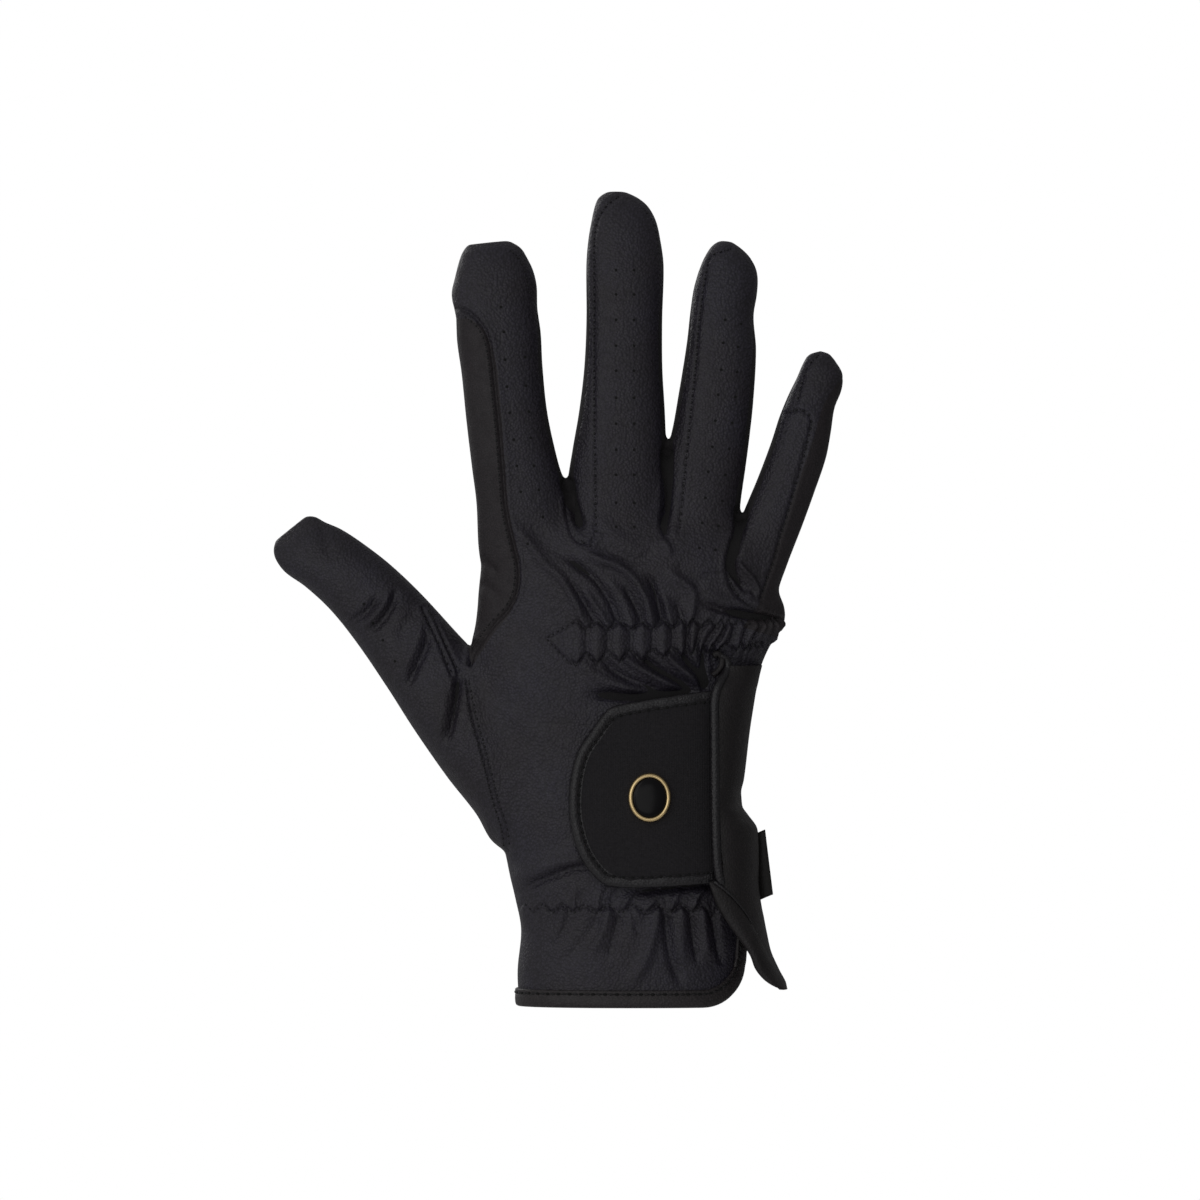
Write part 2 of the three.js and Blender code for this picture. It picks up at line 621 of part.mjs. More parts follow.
function panels() {
  const withoutBands = wall.subtract(unite(bands(gap)));
  const noThumb = withoutBands.subtract(prism(THUMB_PANEL, gap));
  const rest = noThumb.subtract(prism(INDEX_PANEL, gap)).subtract(sideRegion(gap));
  const front = frontBlock(-gap / 2);
  return {
    back_panel: rest.intersect(front).subtract(prism(PATCH_PANEL, gap)).subtract(prism(TIP_PANEL)),
    little_tip_cap: rest.intersect(front).subtract(prism(PATCH_PANEL, gap)).intersect(prism(TIP_PANEL)),
    palm_panel: rest.subtract(frontBlock(gap / 2)),
    thumb_piece: wall.intersect(prism(THUMB_PANEL)),
    index_side_panel: noThumb.intersect(prism(INDEX_PANEL)),
    little_side_panel: withoutBands.intersect(sideRegion(0)),
    little_rein_patch: withoutBands.subtract(sideRegion(gap)).intersect(front).intersect(prism(PATCH_PANEL)),
  };
}

// The edge tape folded over the hem and up the slit: one U-shaped section round the wall's edge.
function hemBinding() {
  const outer = hand(HEM_THICKNESS + gap, OUTSIDE_HEM);
  const inner = hand(-WALL - gap - HEM_THICKNESS, INSIDE_HEM, { drop: 10 });
  const tube = outer.subtract(inner);
  const outerGap = hand(gap, OUTSIDE_HEM, { drop: 10 });
  const innerGap = hand(-WALL - gap, INSIDE_HEM, { drop: 20 });
  const held = outerGap.subtract(innerGap).subtract(frontCut(HEM_THICKNESS)).subtract(rearCut(HEM_THICKNESS));
  const foot = prism(outline([-FAR, -5], [FAR, -5], [FAR, SLIT_FOOT - 3], [-FAR, SLIT_FOOT - 3]));
  const edge = frontCut(HEM_WIDTH).add(rearCut(HEM_WIDTH)).intersect(foot);
  return tube.subtract(held).intersect(edge).subtract(frontCut(0)).subtract(rearCut(0));
}

// Layers over the back of the wrist, each between two heights above the skin
const shell = (low, high) => hand(high, AT_STRAP).subtract(hand(low, AT_STRAP));
const PAD_LOW = gap;
const STRAP_BASE = PAD_LOW + PAD_THICKNESS + gap;
const STRAP_TOP = STRAP_BASE + STRAP_THICKNESS;
const STRAP_POINTS = new THREE.SplineCurve(
  STRAP_OUTLINE.map((row) => new THREE.Vector2(STRAP_LEFT + row.across * STRAP_LENGTH, STRAP_LOW + row.up * STRAP_HEIGHT)),
).getPoints(18);
const strapRegion = (inset) => prism(STRAP_POINTS, -inset).subtract(halfPlane(strapRight + STRAP_UNDER_FLAP, 1));
const frontOnly = frontBlock(0);

function wristStrap() {
  return shell(STRAP_BASE, STRAP_TOP).intersect(frontOnly).intersect(strapRegion(BINDING_WIDTH + gap));
}

function strapBinding() {
  const ring = strapRegion(0).subtract(prism(STRAP_POINTS, -BINDING_WIDTH));
  return shell(STRAP_BASE - BINDING_PROUD, STRAP_TOP + BINDING_PROUD).intersect(frontOnly).intersect(ring);
}

function closurePad() {
  const left = STRAP_LEFT + PAD_MARGIN;
  const right = strapRight - PAD_MARGIN;
  const low = STRAP_LOW + PAD_MARGIN;
  const high = strapHigh - PAD_MARGIN * 1.5;
  const cut = PAD_MARGIN * 1.7;
  const region = prism(
    outline([left + cut, low], [right, low], [right, high], [left + cut, high], [left, high - cut], [left, low + cut]),
  );
  return shell(PAD_LOW, PAD_LOW + PAD_THICKNESS).intersect(frontOnly).intersect(region);
}

// The badge: an oval rim with a domed face set in it, on the strap.
const BADGE_X = STRAP_LEFT + 0.563 * STRAP_LENGTH;
const BADGE_Z = STRAP_LOW + 0.457 * STRAP_HEIGHT;
const badgeOval = () =>
  new THREE.EllipseCurve(BADGE_X, BADGE_Z, BADGE_WIDTH / 2, BADGE_HEIGHT / 2).getPoints(16).slice(1);
const badgeBase = STRAP_TOP + gap;

function badgeRim() {
  const ring = prism(badgeOval()).subtract(prism(badgeOval(), -BADGE_RIM));
  return shell(badgeBase, badgeBase + BADGE_RISE).intersect(frontOnly).intersect(ring);
}

function badgeFace() {
  const dome = new THREE.SphereGeometry(1, 16, 10);
  dome.scale(BADGE_WIDTH * 0.55, BADGE_DOME, BADGE_HEIGHT * 0.55);
  dome.translate(BADGE_X, skinY(BADGE_X, BADGE_Z) - badgeBase, BADGE_Z);
  const base = shell(badgeBase, badgeBase + 4).intersect(frontOnly);
  return base.intersect(prism(badgeOval(), -BADGE_RIM - gap)).intersect(solid(dome));
}

// The side flap: edge and far are its front edge and outermost side as shares of HAND_WIDTH, rear is how
// far it reaches back as a share of HAND_DEPTH.
const FLAP = table(
  "up edge far rear",
  [0.037, 0.463, 0.488, -0.47],
  [0.051, 0.423, 0.486, -0.4],
  [0.075, 0.388, 0.462, -0.3],
  [0.11, 0.366, 0.433, -0.16],
  [0.149, 0.324, 0.418, 0],
  [0.178, 0.286, 0.409, 0.14],
  [0.206, 0.265, 0.4, 0.272],
  [0.25, 0.26, 0.391, 0.272],
  [0.294, 0.257, 0.392, 0.272],
  [0.34, 0.247, 0.39, 0.272],
  [0.365, 0.244, 0.384, 0.272],
  [0.39, 0.241, 0.355, 0.272],
  [0.415, 0.238, 0.328, 0.272],
  [0.463, 0.234, 0.343, 0.272],
  [0.56, 0.23, 0.362, 0.272],
  [0.62, 0.231, 0.377, 0.272],
  [0.642, 0.236, 0.383, 0.272],
  [0.66, 0.275, 0.39, 0.272],
  [0.675, 0.312, 0.395, 0.272],
  [0.694, 0.316, 0.403, 0.272],
);
const FLAP_TIP = handZ(FLAP[0].up);
const FLAP_TOP = handZ(FLAP[FLAP.length - 1].up);
const flapRead = (z, column) => read(FLAP, "up", z / HAND_LENGTH, column);
const flapEdgeX = (z) => handX(flapRead(z, "edge"));
// The front edge rides over the strap, and comes down to the skin above it.
function flapEdgeY(z) {
  const x = Math.min(flapEdgeX(z), handX(0.265));
  const down = smooth((z - strapHigh) / 7);
  const overStrap = STRAP_TOP + BINDING_PROUD + 2 * gap + FLAP_BEAD;
  return aboveSkin(x, Math.max(z, SLIT_FOOT), overStrap * (1 - down) + (gap + FLAP_BEAD) * down);
}

// The flap's outer skin at a depth between its front edge and its rear.
function flapX(z, y) {
  const far = handX(flapRead(z, "far"));
  if (y < 0) return flapEdgeX(z) + (far - flapEdgeX(z)) * rounded(y / flapEdgeY(z));
  const share = Math.min(1, y / FLAP_WRAP);
  return skinRight(y, z) + (far - skinRight(0, z)) * (1 - share * share);
}

function sideFlap() {
  const levels = 16;
  const columns = 5;
  const bead = [];
  const rings = [];
  for (let i = 0; i <= levels; i++) {
    const z = FLAP_TIP + ((FLAP_TOP - FLAP_TIP) * i) / levels;
    const front = flapEdgeY(z) * 0.999;
    const rear = Math.min(FLAP_WRAP - gap, HAND_DEPTH * flapRead(z, "rear"));
    const outer = [];
    for (let k = 0; k <= columns; k++) {
      const y = rear + (front - rear) * Math.sin((Math.PI / 2) * (k / columns));
      outer.push(new THREE.Vector2(flapX(z, y), y));
    }
    const inner = outer.map((p, k) => {
      const before = outer[Math.max(0, k - 1)];
      const after = outer[Math.min(columns, k + 1)];
      const run = after.clone().sub(before).normalize();
      return new THREE.Vector2(p.x + run.y * WALL, p.y - run.x * WALL);
    });
    rings.push([...outer, ...inner.reverse()].map((p) => new THREE.Vector3(p.x, p.y, z)));
    bead.push(new THREE.Vector3(flapEdgeX(z), flapEdgeY(z), z));
  }
  return skin(rings).add(cord(bead, (share) => FLAP_BEAD * (0.55 + 0.45 * smooth(share * 6)), 6));
}

// A round cord along a path, with a radius at each share of its length.
function cord(points, radiusAt, sides) {
  const path = new THREE.CatmullRomCurve3(points);
  const steps = points.length - 1;
  const frames = path.computeFrenetFrames(steps, false);
  const rings = Array.from({ length: steps + 1 }, (_, i) => {
    const centre = path.getPointAt(i / steps);
    return Array.from({ length: sides }, (_, k) => {
      const angle = (2 * Math.PI * k) / sides;
      const radius = radiusAt(i / steps);
      return centre
        .clone()
        .addScaledVector(frames.normals[i], Math.cos(angle) * radius)
        .addScaledVector(frames.binormals[i], Math.sin(angle) * radius);
    });
  });
  return skin(rings);
}

// The piping that turns over at the top of the slit.
const LOOP = table("x z", [0.238, 0.674], [0.256, 0.683], [0.268, 0.696], [0.268, 0.71], [0.255, 0.718], [0.24, 0.714]);
function slitPiping() {
  const points = LOOP.map((row) => {
    const x = handX(row.x);
    const z = handZ(row.z);
    return new THREE.Vector3(x, aboveSkin(x, z, gap + PIPING_RADIUS + 0.2), z);
  });
  const smoothPath = new THREE.CatmullRomCurve3(points).getPoints(9);
  return cord(smoothPath, () => PIPING_RADIUS, 6);
}

// A bare ribbon tag caught in the flap's side seam.
const TAG_LOW = handZ(0.215);
const TAG_Y = -1;
function sideTag() {
  const steps = 5;
  const inner = [];
  const outer = [];
  for (let i = 0; i <= steps; i++) {
    const z = TAG_LOW + (TAG_HEIGHT * i) / steps;
    const x = flapX(z, TAG_Y + TAG_THICKNESS / 2) + gap;
    inner.push(new THREE.Vector2(x, z));
    outer.push(new THREE.Vector2(handX(0.392) + TAG_REACH - (1.6 * i) / steps, z - 1 + (0.6 * i) / steps));
  }
  return prism([...inner, ...outer.reverse()], 0, TAG_Y, TAG_Y + TAG_THICKNESS);
}

const FINISHES = {
  leather: { color: 0x2b2a2d, roughness: 0.55, metalness: 0 },
  smooth_cloth: { color: 0x252225, roughness: 0.75, metalness: 0 },
  stretch_cloth: { color: 0x1d1b1c, roughness: 0.85, metalness: 0 },
  tape: { color: 0x302e31, roughness: 0.45, metalness: 0 },
  gold: { color: 0xd9b778, roughness: 0.25, metalness: 1 },
  enamel: { color: 0x0b0a0c, roughness: 0.12, metalness: 0 },
  ribbon: { color: 0x1b1815, roughness: 0.7, metalness: 0 },
};
const glove = new THREE.Group();

// Adds a solid as a named mesh. A cut may leave slivers, so the largest body is the piece.
function addPiece(name, piece, finish) {
  const bodies = piece.decompose().sort((a, b) => b.volume() - a.volume());
  const data = bodies[0].getMesh();
  const positions = new Float32Array(data.numVert * 3);
  for (let i = 0; i < data.numVert; i++) {
    positions.set(data.vertProperties.subarray(i * data.numProp, i * data.numProp + 3), i * 3);
  }
  const geometry = new THREE.BufferGeometry();
  geometry.setAttribute("position", new THREE.BufferAttribute(positions, 3));
  geometry.setIndex(new THREE.BufferAttribute(data.triVerts, 1));
  geometry.computeVertexNormals();
  const mesh = new THREE.Mesh(geometry, new THREE.MeshStandardMaterial(FINISHES[finish]));
  mesh.name = name;
  glove.add(mesh);
}

const finishOf = { index_side_panel: "smooth_cloth", little_side_panel: "smooth_cloth" };
for (const [name, piece] of Object.entries(panels())) addPiece(name, piece, finishOf[name] ?? "leather");
pairs.forEach(([a, b], i) => addPiece(`fourchette_${a}_${b}`, wall.intersect(bands(0)[i]), "stretch_cloth"));
addPiece("hem_binding", hemBinding(), "tape");
addPiece("wrist_strap", wristStrap(), "smooth_cloth");
addPiece("strap_binding", strapBinding(), "leather");
addPiece("closure_pad", closurePad(), "stretch_cloth");
addPiece("badge_rim", badgeRim(), "gold");
addPiece("badge_face", badgeFace(), "enamel");
addPiece("side_flap", sideFlap(), "leather");
addPiece("slit_piping", slitPiping(), "leather");
addPiece("side_tag", sideTag(), "ribbon");

export default glove;
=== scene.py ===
# A right-hand riding glove, dressed over its CAD solids: leather skin with folds and gathers, side panels,
# wrist strap with rolled binding and oval badge, side flap, bound hem, stitches and perforations.
# Lengths are in millimetres and become metres in the meshes. Places on the back of the glove are given as
# pixels of the photograph, which sees it square from the front, and the skin gives them their depth.
import math

import bpy
import numpy as np
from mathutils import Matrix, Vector
from mathutils.bvhtree import BVHTree


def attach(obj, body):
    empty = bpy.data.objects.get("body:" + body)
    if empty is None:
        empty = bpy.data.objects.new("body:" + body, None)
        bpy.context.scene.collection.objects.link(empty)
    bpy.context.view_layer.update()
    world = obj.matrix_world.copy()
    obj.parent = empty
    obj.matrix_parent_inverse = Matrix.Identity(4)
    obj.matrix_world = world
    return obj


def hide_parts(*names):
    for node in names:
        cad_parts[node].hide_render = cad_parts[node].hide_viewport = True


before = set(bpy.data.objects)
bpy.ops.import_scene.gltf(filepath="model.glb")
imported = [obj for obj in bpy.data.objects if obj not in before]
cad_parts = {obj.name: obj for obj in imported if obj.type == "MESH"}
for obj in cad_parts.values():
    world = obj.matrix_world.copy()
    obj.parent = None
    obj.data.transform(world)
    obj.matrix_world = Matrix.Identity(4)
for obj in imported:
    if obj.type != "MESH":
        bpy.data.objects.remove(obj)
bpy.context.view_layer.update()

MM = 0.001
PIXEL = 0.29  # one pixel of the photograph, at the glove
ZERO_X = 640  # the pixel at the middle of the cuff's mouth
ZERO_Y = 1005
VIEW_X = -11.6
VIEW_Z = 117.5
VIEW_WIDTH = 348
VOXEL = 0.69  # grid of the skin's mesh, halved where it is gathered
LINING_VOXEL = 1.6
SEAM_DEPTH = 0.55
HEM_STITCH = 3.4  # a thread and the gap after it, as for the strap and the palm
STRAP_STITCH = 2.7
PALM_STITCH = 1.9
BINDING_FLAT = 3.35  # height of the strap's binding above which its roll flattens along the sides
BEAD_RADIUS = 1.35
PERFORATION_RADIUS = 0.42
PALM_DEPTH = 1.5  # how much deeper the palm's creases are than their table says

# The same named sizes as the CAD
WALL = 1.4
GAP = 0.3
HAND_LENGTH = 142
HAND_WIDTH = 88
HAND_DEPTH = 32
FINGER_BEND = 13
THUMB_BEND = 15
FOURCHETTE_FRONT = 5
FOURCHETTE_REAR = 4.5
HEM_THICKNESS = 0.9
CUFF_CORNER = 11.5
STRAP_LENGTH = 41.5
STRAP_HEIGHT = 56.5
STRAP_THICKNESS = 1.8
STRAP_UNDER_FLAP = 3.5
BINDING_PROUD = 0.5
PAD_THICKNESS = 1.1
BADGE_WIDTH = 12.4
BADGE_HEIGHT = 14.2
FLAP_WRAP = 9
FLAP_BEAD = 1.7
PIPING_RADIUS = 0.9
TAG_HEIGHT = 19.5
TAG_REACH = 3.4
TAG_Y = -1
TAG_THICKNESS = 0.9
BOXINESS = 2.35

# Sections of the hand: up left right back palm, as shares of the hand's length, width and depth
HAND = np.array([
    [0, 0.398, 0.352, 0.656, 0.656],
    [0.07, 0.404, 0.352, 0.64, 0.64],
    [0.155, 0.392, 0.365, 0.625, 0.625],
    [0.218, 0.411, 0.38, 0.608, 0.61],
    [0.268, 0.43, 0.385, 0.61, 0.625],
    [0.34, 0.453, 0.38, 0.61, 0.64],
    [0.41, 0.478, 0.365, 0.585, 0.64],
    [0.528, 0.511, 0.358, 0.531, 0.61],
    [0.62, 0.54, 0.378, 0.5, 0.578],
    [0.683, 0.555, 0.395, 0.488, 0.556],
    [0.732, 0.557, 0.427, 0.478, 0.531],
    [0.775, 0.543, 0.472, 0.475, 0.516],
    [0.81, 0.536, 0.477, 0.469, 0.516],
    [0.845, 0.532, 0.458, 0.463, 0.5],
    [0.88, 0.526, 0.466, 0.453, 0.484],
    [0.915, 0.518, 0.466, 0.4375, 0.453],
    [0.958, 0.477, 0.409, 0.375, 0.39],
    [0.985, 0.42, 0.34, 0.297, 0.3125],
    [1, 0.34, 0.27, 0.156, 0.156],
])

# Sections of each finger: at left right deep, as shares of its length and of its half width
INDEX_ROWS = [
    [-0.15, 0.6, 0.6, 0.7],
    [0, 0.97, 1.3, 0.88],
    [0.2, 0.93, 1.27, 0.86],
    [0.3, 0.95, 1.13, 0.83],
    [0.45, 0.97, 1.0, 0.81],
    [0.6, 0.97, 1, 0.8],
    [0.7, 1.0, 1.04, 0.8],
    [0.78, 0.97, 1.02, 0.78],
    [0.85, 1.02, 1.06, 0.77],
    [0.9, 0.9, 1.01, 0.73],
    [0.94, 0.79, 0.9, 0.66],
    [0.975, 0.67, 0.76, 0.55],
    [1, 0.52, 0.5, 0.3],
]
MIDDLE_ROWS = [
    [-0.15, 0.6, 0.6, 0.7],
    [0, 1.35, 1.2, 0.92],
    [0.2, 1.35, 1.25, 0.9],
    [0.3, 1.22, 1.21, 0.9],
    [0.4, 1.06, 1.17, 0.88],
    [0.52, 0.93, 1.1, 0.86],
    [0.65, 0.88, 1.09, 0.85],
    [0.8, 0.89, 1.12, 0.85],
    [0.87, 0.84, 1.03, 0.81],
    [0.92, 0.76, 0.92, 0.74],
    [0.96, 0.68, 0.71, 0.6],
    [0.985, 0.57, 0.42, 0.42],
    [1, 0.35, 0.1, 0.2],
]
RING_ROWS = [
    [-0.15, 0.6, 0.6, 0.7],
    [0, 1.3, 1, 0.94],
    [0.2, 1.3, 0.97, 0.9],
    [0.32, 1.25, 1.02, 0.89],
    [0.4, 1.09, 1.05, 0.88],
    [0.52, 0.99, 1.07, 0.87],
    [0.68, 0.89, 1.02, 0.85],
    [0.78, 0.87, 0.87, 0.83],
    [0.85, 0.83, 0.91, 0.8],
    [0.91, 0.72, 0.87, 0.73],
    [0.955, 0.58, 0.65, 0.6],
    [0.985, 0.42, 0.33, 0.4],
    [1, 0.24, 0.08, 0.2],
]
LITTLE_ROWS = [
    [-0.15, 0.6, 0.6, 0.7],
    [0, 1.3, 0.8, 1.05],
    [0.07, 1.3, 0.58, 1.02],
    [0.2, 1.28, 0.62, 0.97],
    [0.35, 1.23, 0.74, 0.94],
    [0.48, 1.1, 0.82, 0.91],
    [0.62, 1.0, 0.88, 0.9],
    [0.72, 0.97, 0.8, 0.87],
    [0.81, 0.88, 0.7, 0.83],
    [0.88, 0.77, 0.76, 0.77],
    [0.94, 0.7, 0.65, 0.66],
    [0.975, 0.6, 0.35, 0.48],
    [1, 0.28, 0.05, 0.2],
]
THUMB_ROWS = [
    [-0.03, 0.5, 1.2, 1.1],
    [0.02, 0.66, 1.35, 1.18],
    [0.06, 0.73, 1.5, 1.25],
    [0.13, 0.61, 1.68, 1.33],
    [0.25, 0.6, 1.9, 1.35],
    [0.4, 0.5, 2.07, 1.22],
    [0.52, 0.37, 1.98, 1.05],
    [0.66, 0.26, 1.88, 0.94],
    [0.77, 0.26, 1.72, 0.91],
    [0.86, 0.4, 1.49, 0.88],
    [0.92, 0.58, 1.28, 0.81],
    [0.96, 0.57, 1.06, 0.67],
    [0.985, 0.46, 0.96, 0.48],
    [1, 0.26, 0.8, 0.26],
]


class Finger:
    """One finger of the glove: its root on the hand, its size and lean, and its sections."""

    def __init__(self, x, z, length, half, lean, rows):
        self.root = (x * HAND_WIDTH, z * HAND_LENGTH)
        self.length = length
        self.half = half
        self.sine = math.sin(math.radians(lean))
        self.cosine = math.cos(math.radians(lean))
        self.rows = np.array(rows)

    def place(self, at, side):
        """X and Z of a point given in shares of the length and of the half width."""
        along = np.asarray(at) * self.length
        across = np.asarray(side) * self.half
        x = self.root[0] + along * self.sine + across * self.cosine
        z = self.root[1] + along * self.cosine - across * self.sine
        return x, z

    def share(self, x, z):
        """The same shares of a point given in X and Z."""
        dx = x - self.root[0]
        dz = z - self.root[1]
        along = dx * self.sine + dz * self.cosine
        across = dx * self.cosine - dz * self.sine
        return along / self.length, across / self.half


INDEX = Finger(-0.392, 0.908, 93, 12, -5.9, INDEX_ROWS)
MIDDLE = Finger(-0.069, 0.908, 107.5, 11.2, 0.3, MIDDLE_ROWS)
RING = Finger(0.194, 0.889, 96, 10.6, 5.2, RING_ROWS)
LITTLE = Finger(0.378, 0.807, 77.6, 8.8, 16, LITTLE_ROWS)
THUMB = Finger(-0.375, 0.338, 113.5, 11, -38.7, THUMB_ROWS)
FINGERS = [INDEX, MIDDLE, RING, LITTLE, THUMB]
KNUCKLE = 0.86 * HAND_LENGTH
TOP = MIDDLE.root[1] + MIDDLE.length

INDEX_SEAM = [
    (0.775, -2.6), (0.775, -1), (0.765, -0.62), (0.73, -0.33), (0.674, -0.16), (0.6, -0.09), (0.5, -0.1),
    (0.35, -0.13), (0.19, -0.17), (0.096, -0.12), (0.017, -0.04), (-0.061, -0.05), (-0.121, -0.2),
    (-0.172, -0.46), (-0.213, -0.8), (-0.262, -1.12), (-0.305, -1.4), (-0.305, -2.6),
]
THUMB_SEAM = [
    (-0.62, 1.1), (-0.57, 0.74), (-0.553, 0.69), (-0.545, 0.66), (-0.51, 0.53), (-0.47, 0.42), (-0.42, 0.32),
    (-1.4, 0.32), (-1.4, 1.1),
]
PATCH_LINE = [(-0.075, -0.25), (0.02, 0.06), (0.12, 0.08), (0.3, 0.12), (0.5, 0.2), (0.68, 0.3)]
PATCH_HEAD = [(0.75, 0.26), (0.785, 0.06), (0.79, -0.3), (0.785, -1.5), (0.12, -1.7)]
SIDE_HEAD = [(0.8, 0.3), (0.86, 0.42), (0.93, 0.7), (0.93, 1.6), (-0.075, 1.8)]
TIP_BOX = [(0.68, -1.8), (0.68, 1.8), (1.1, 1.8), (1.1, -1.8)]
LITTLE_SIDE_WRAP = 4
BAND_LOW = -0.12
BAND_TOP = 0.95

# Across and up, as shares of the strap's length and height
STRAP_OUTLINE = [
    (1.4, 1.02), (1, 1), (0.64, 0.965), (0.31, 0.92), (0.245, 0.885), (0.15, 0.79), (0.065, 0.694),
    (0.017, 0.57), (0, 0.427), (0.017, 0.303), (0.08, 0.159), (0.185, 0.051), (0.283, 0.004), (0.64, 0),
    (1, 0.02), (1.4, 0.03),
]
STRAP_LEFT = -0.235 * HAND_WIDTH
STRAP_LOW = 0.245 * HAND_LENGTH
STRAP_RIGHT = STRAP_LEFT + STRAP_LENGTH
STRAP_HIGH = STRAP_LOW + STRAP_HEIGHT
STRAP_BASE = GAP + PAD_THICKNESS + GAP
STRAP_TOP = STRAP_BASE + STRAP_THICKNESS
BADGE_X = STRAP_LEFT + 0.563 * STRAP_LENGTH
BADGE_Z = STRAP_LOW + 0.457 * STRAP_HEIGHT
CORNER_RIGHT = 0.336 * HAND_WIDTH
SLIT_FOOT = 0.2 * HAND_LENGTH

# Sections of the flap: up edge far rear, as shares of the hand's length, width, width and depth
FLAP = np.array([
    [0.037, 0.463, 0.488, -0.47],
    [0.051, 0.423, 0.486, -0.4],
    [0.075, 0.388, 0.462, -0.3],
    [0.11, 0.366, 0.433, -0.16],
    [0.149, 0.324, 0.418, 0],
    [0.178, 0.286, 0.409, 0.14],
    [0.206, 0.265, 0.4, 0.272],
    [0.25, 0.26, 0.391, 0.272],
    [0.294, 0.257, 0.392, 0.272],
    [0.34, 0.247, 0.39, 0.272],
    [0.365, 0.244, 0.384, 0.272],
    [0.39, 0.241, 0.355, 0.272],
    [0.415, 0.238, 0.328, 0.272],
    [0.463, 0.234, 0.343, 0.272],
    [0.56, 0.23, 0.362, 0.272],
    [0.62, 0.237, 0.377, 0.272],
    [0.642, 0.247, 0.383, 0.272],
    [0.66, 0.262, 0.39, 0.272],
    [0.675, 0.277, 0.395, 0.272],
    [0.694, 0.288, 0.403, 0.272],
])
FLAP_HIGH = FLAP[-1, 0] * HAND_LENGTH
LOOP = [(0.238, 0.674), (0.256, 0.683), (0.268, 0.696), (0.268, 0.71), (0.255, 0.718), (0.24, 0.714)]


def smooth(t):
    s = np.clip(t, 0, 1)
    return s * s * (3 - 2 * s)


def read(rows, at):
    """Each column but the first of a table, at positions of its first column, on a smooth curve."""
    key = rows[:, 0]
    values = rows[:, 1:]
    last = len(key) - 1
    before = np.maximum(np.arange(last + 1) - 1, 0)
    after = np.minimum(np.arange(last + 1) + 1, last)
    slopes = (values[after] - values[before]) / (key[after] - key[before])[:, None]
    at = np.atleast_1d(np.asarray(at, float))
    high = np.clip(np.searchsorted(key, at), 1, last)
    low = high - 1
    span = (key[high] - key[low])[:, None]
    t = np.clip((at[:, None] - key[low][:, None]) / span, 0, 1)
    t2 = t * t
    t3 = t2 * t
    return (
        (2 * t3 - 3 * t2 + 1) * values[low]
        + (t3 - 2 * t2 + t) * span * slopes[low]
        + (3 * t2 - 2 * t3) * values[high]
        + (t3 - t2) * span * slopes[high]
    )


def bend(z):
    return FINGER_BEND * (np.maximum(0, z - KNUCKLE) / (TOP - KNUCKLE)) ** 2


def rounded(share):
    return (1 - np.minimum(1, np.abs(share)) ** BOXINESS) ** (1 / BOXINESS)


def hand_sizes(z):
    """Left, right, back and palm of the hand's section at heights z."""
    scale = np.array([HAND_WIDTH, HAND_WIDTH, HAND_DEPTH, HAND_DEPTH])
    return (read(HAND, np.asarray(z) / HAND_LENGTH) * scale).T



def skin_y(x, z):
    x = np.atleast_1d(x)
    z = np.atleast_1d(z)
    left, right, back, _ = hand_sizes(z)
    share = (x - (right - left) / 2) / ((left + right) / 2)
    return bend(z) - back * rounded(share)


def above_skin(x, z, lift):
    slope = skin_y(x + 0.5, z) - skin_y(x - 0.5, z)
    return skin_y(x, z) - lift * np.hypot(1, slope)


def pixels(*pairs):
    """Pixels of the photograph as X and Z."""
    points = np.array(pairs, float)
    return np.column_stack([(points[:, 0] - ZERO_X) * PIXEL, (ZERO_Y - points[:, 1]) * PIXEL])


def to_pixels(x, z):
    return x / PIXEL + ZERO_X, ZERO_Y - z / PIXEL


# Lines as rows of points


def travelled(line):
    """How far along a line each of its points lies."""
    return np.concatenate([[0], np.cumsum(np.linalg.norm(np.diff(line, axis=0), axis=1))])


def at_lengths(line, lengths, wanted):
    """The points at wanted distances along a line."""
    return np.column_stack([np.interp(wanted, lengths, line[:, k]) for k in range(line.shape[1])])


def evened(line, count):
    """The same line as a number of evenly spaced points."""
    lengths = travelled(line)
    return at_lengths(line, lengths, np.linspace(0, lengths[-1], count))


def curve(points, steps=8):
    """A smooth curve through points, as more points."""
    points = np.asarray(points, float)
    if len(points) < 3:
        return points
    lengths = travelled(points[:, :2])
    fine = np.linspace(0, lengths[-1], (len(points) - 1) * steps + 1)
    return read(np.column_stack([lengths, points]), fine)


def inward_of(line):
    """At each point of a line in a plane, the direction square to it on its left."""
    run = np.gradient(line, axis=0)
    run /= np.hypot(*run.T)[:, None]
    return np.column_stack([-run[:, 1], run[:, 0]])


def with_depth(places, y):
    """Places of the X-Z plane as points at depths y."""
    return np.column_stack([places[:, 0], y, places[:, 1]])


# Mesh building


def grid_quads(rows, columns, wrap):
    """Quads between the points of a grid that are numbered row by row."""
    r = np.arange(rows - 1)[:, None] * columns
    c = np.arange(columns if wrap else columns - 1)[None, :]
    d = (c + 1) % columns
    return np.stack([r + c, r + d, r + columns + d, r + columns + c], axis=-1).reshape(-1, 4)


def as_faces(array):
    return [tuple(face) for face in array.tolist()]


def loft(rings, closed=True):
    """Vertices and faces of a tube through rings of one length, with a fan over each end if it is closed."""
    rings = np.asarray(rings, float)
    count, columns = rings.shape[:2]
    vertices = rings.reshape(-1, 3)
    faces = as_faces(grid_quads(count, columns, True))
    if closed:
        vertices = np.vstack([vertices, rings[0].mean(axis=0), rings[-1].mean(axis=0)])
        first = count * columns
        last = (count - 1) * columns
        for k in range(columns):
            following = (k + 1) % columns
            faces.append((first, following, k))
            faces.append((first + 1, last + k, last + following))
    return vertices, faces


def turned(shape):
    """The same shape with its faces turned over."""
    vertices, faces = shape
    return vertices, [face[::-1] for face in faces]


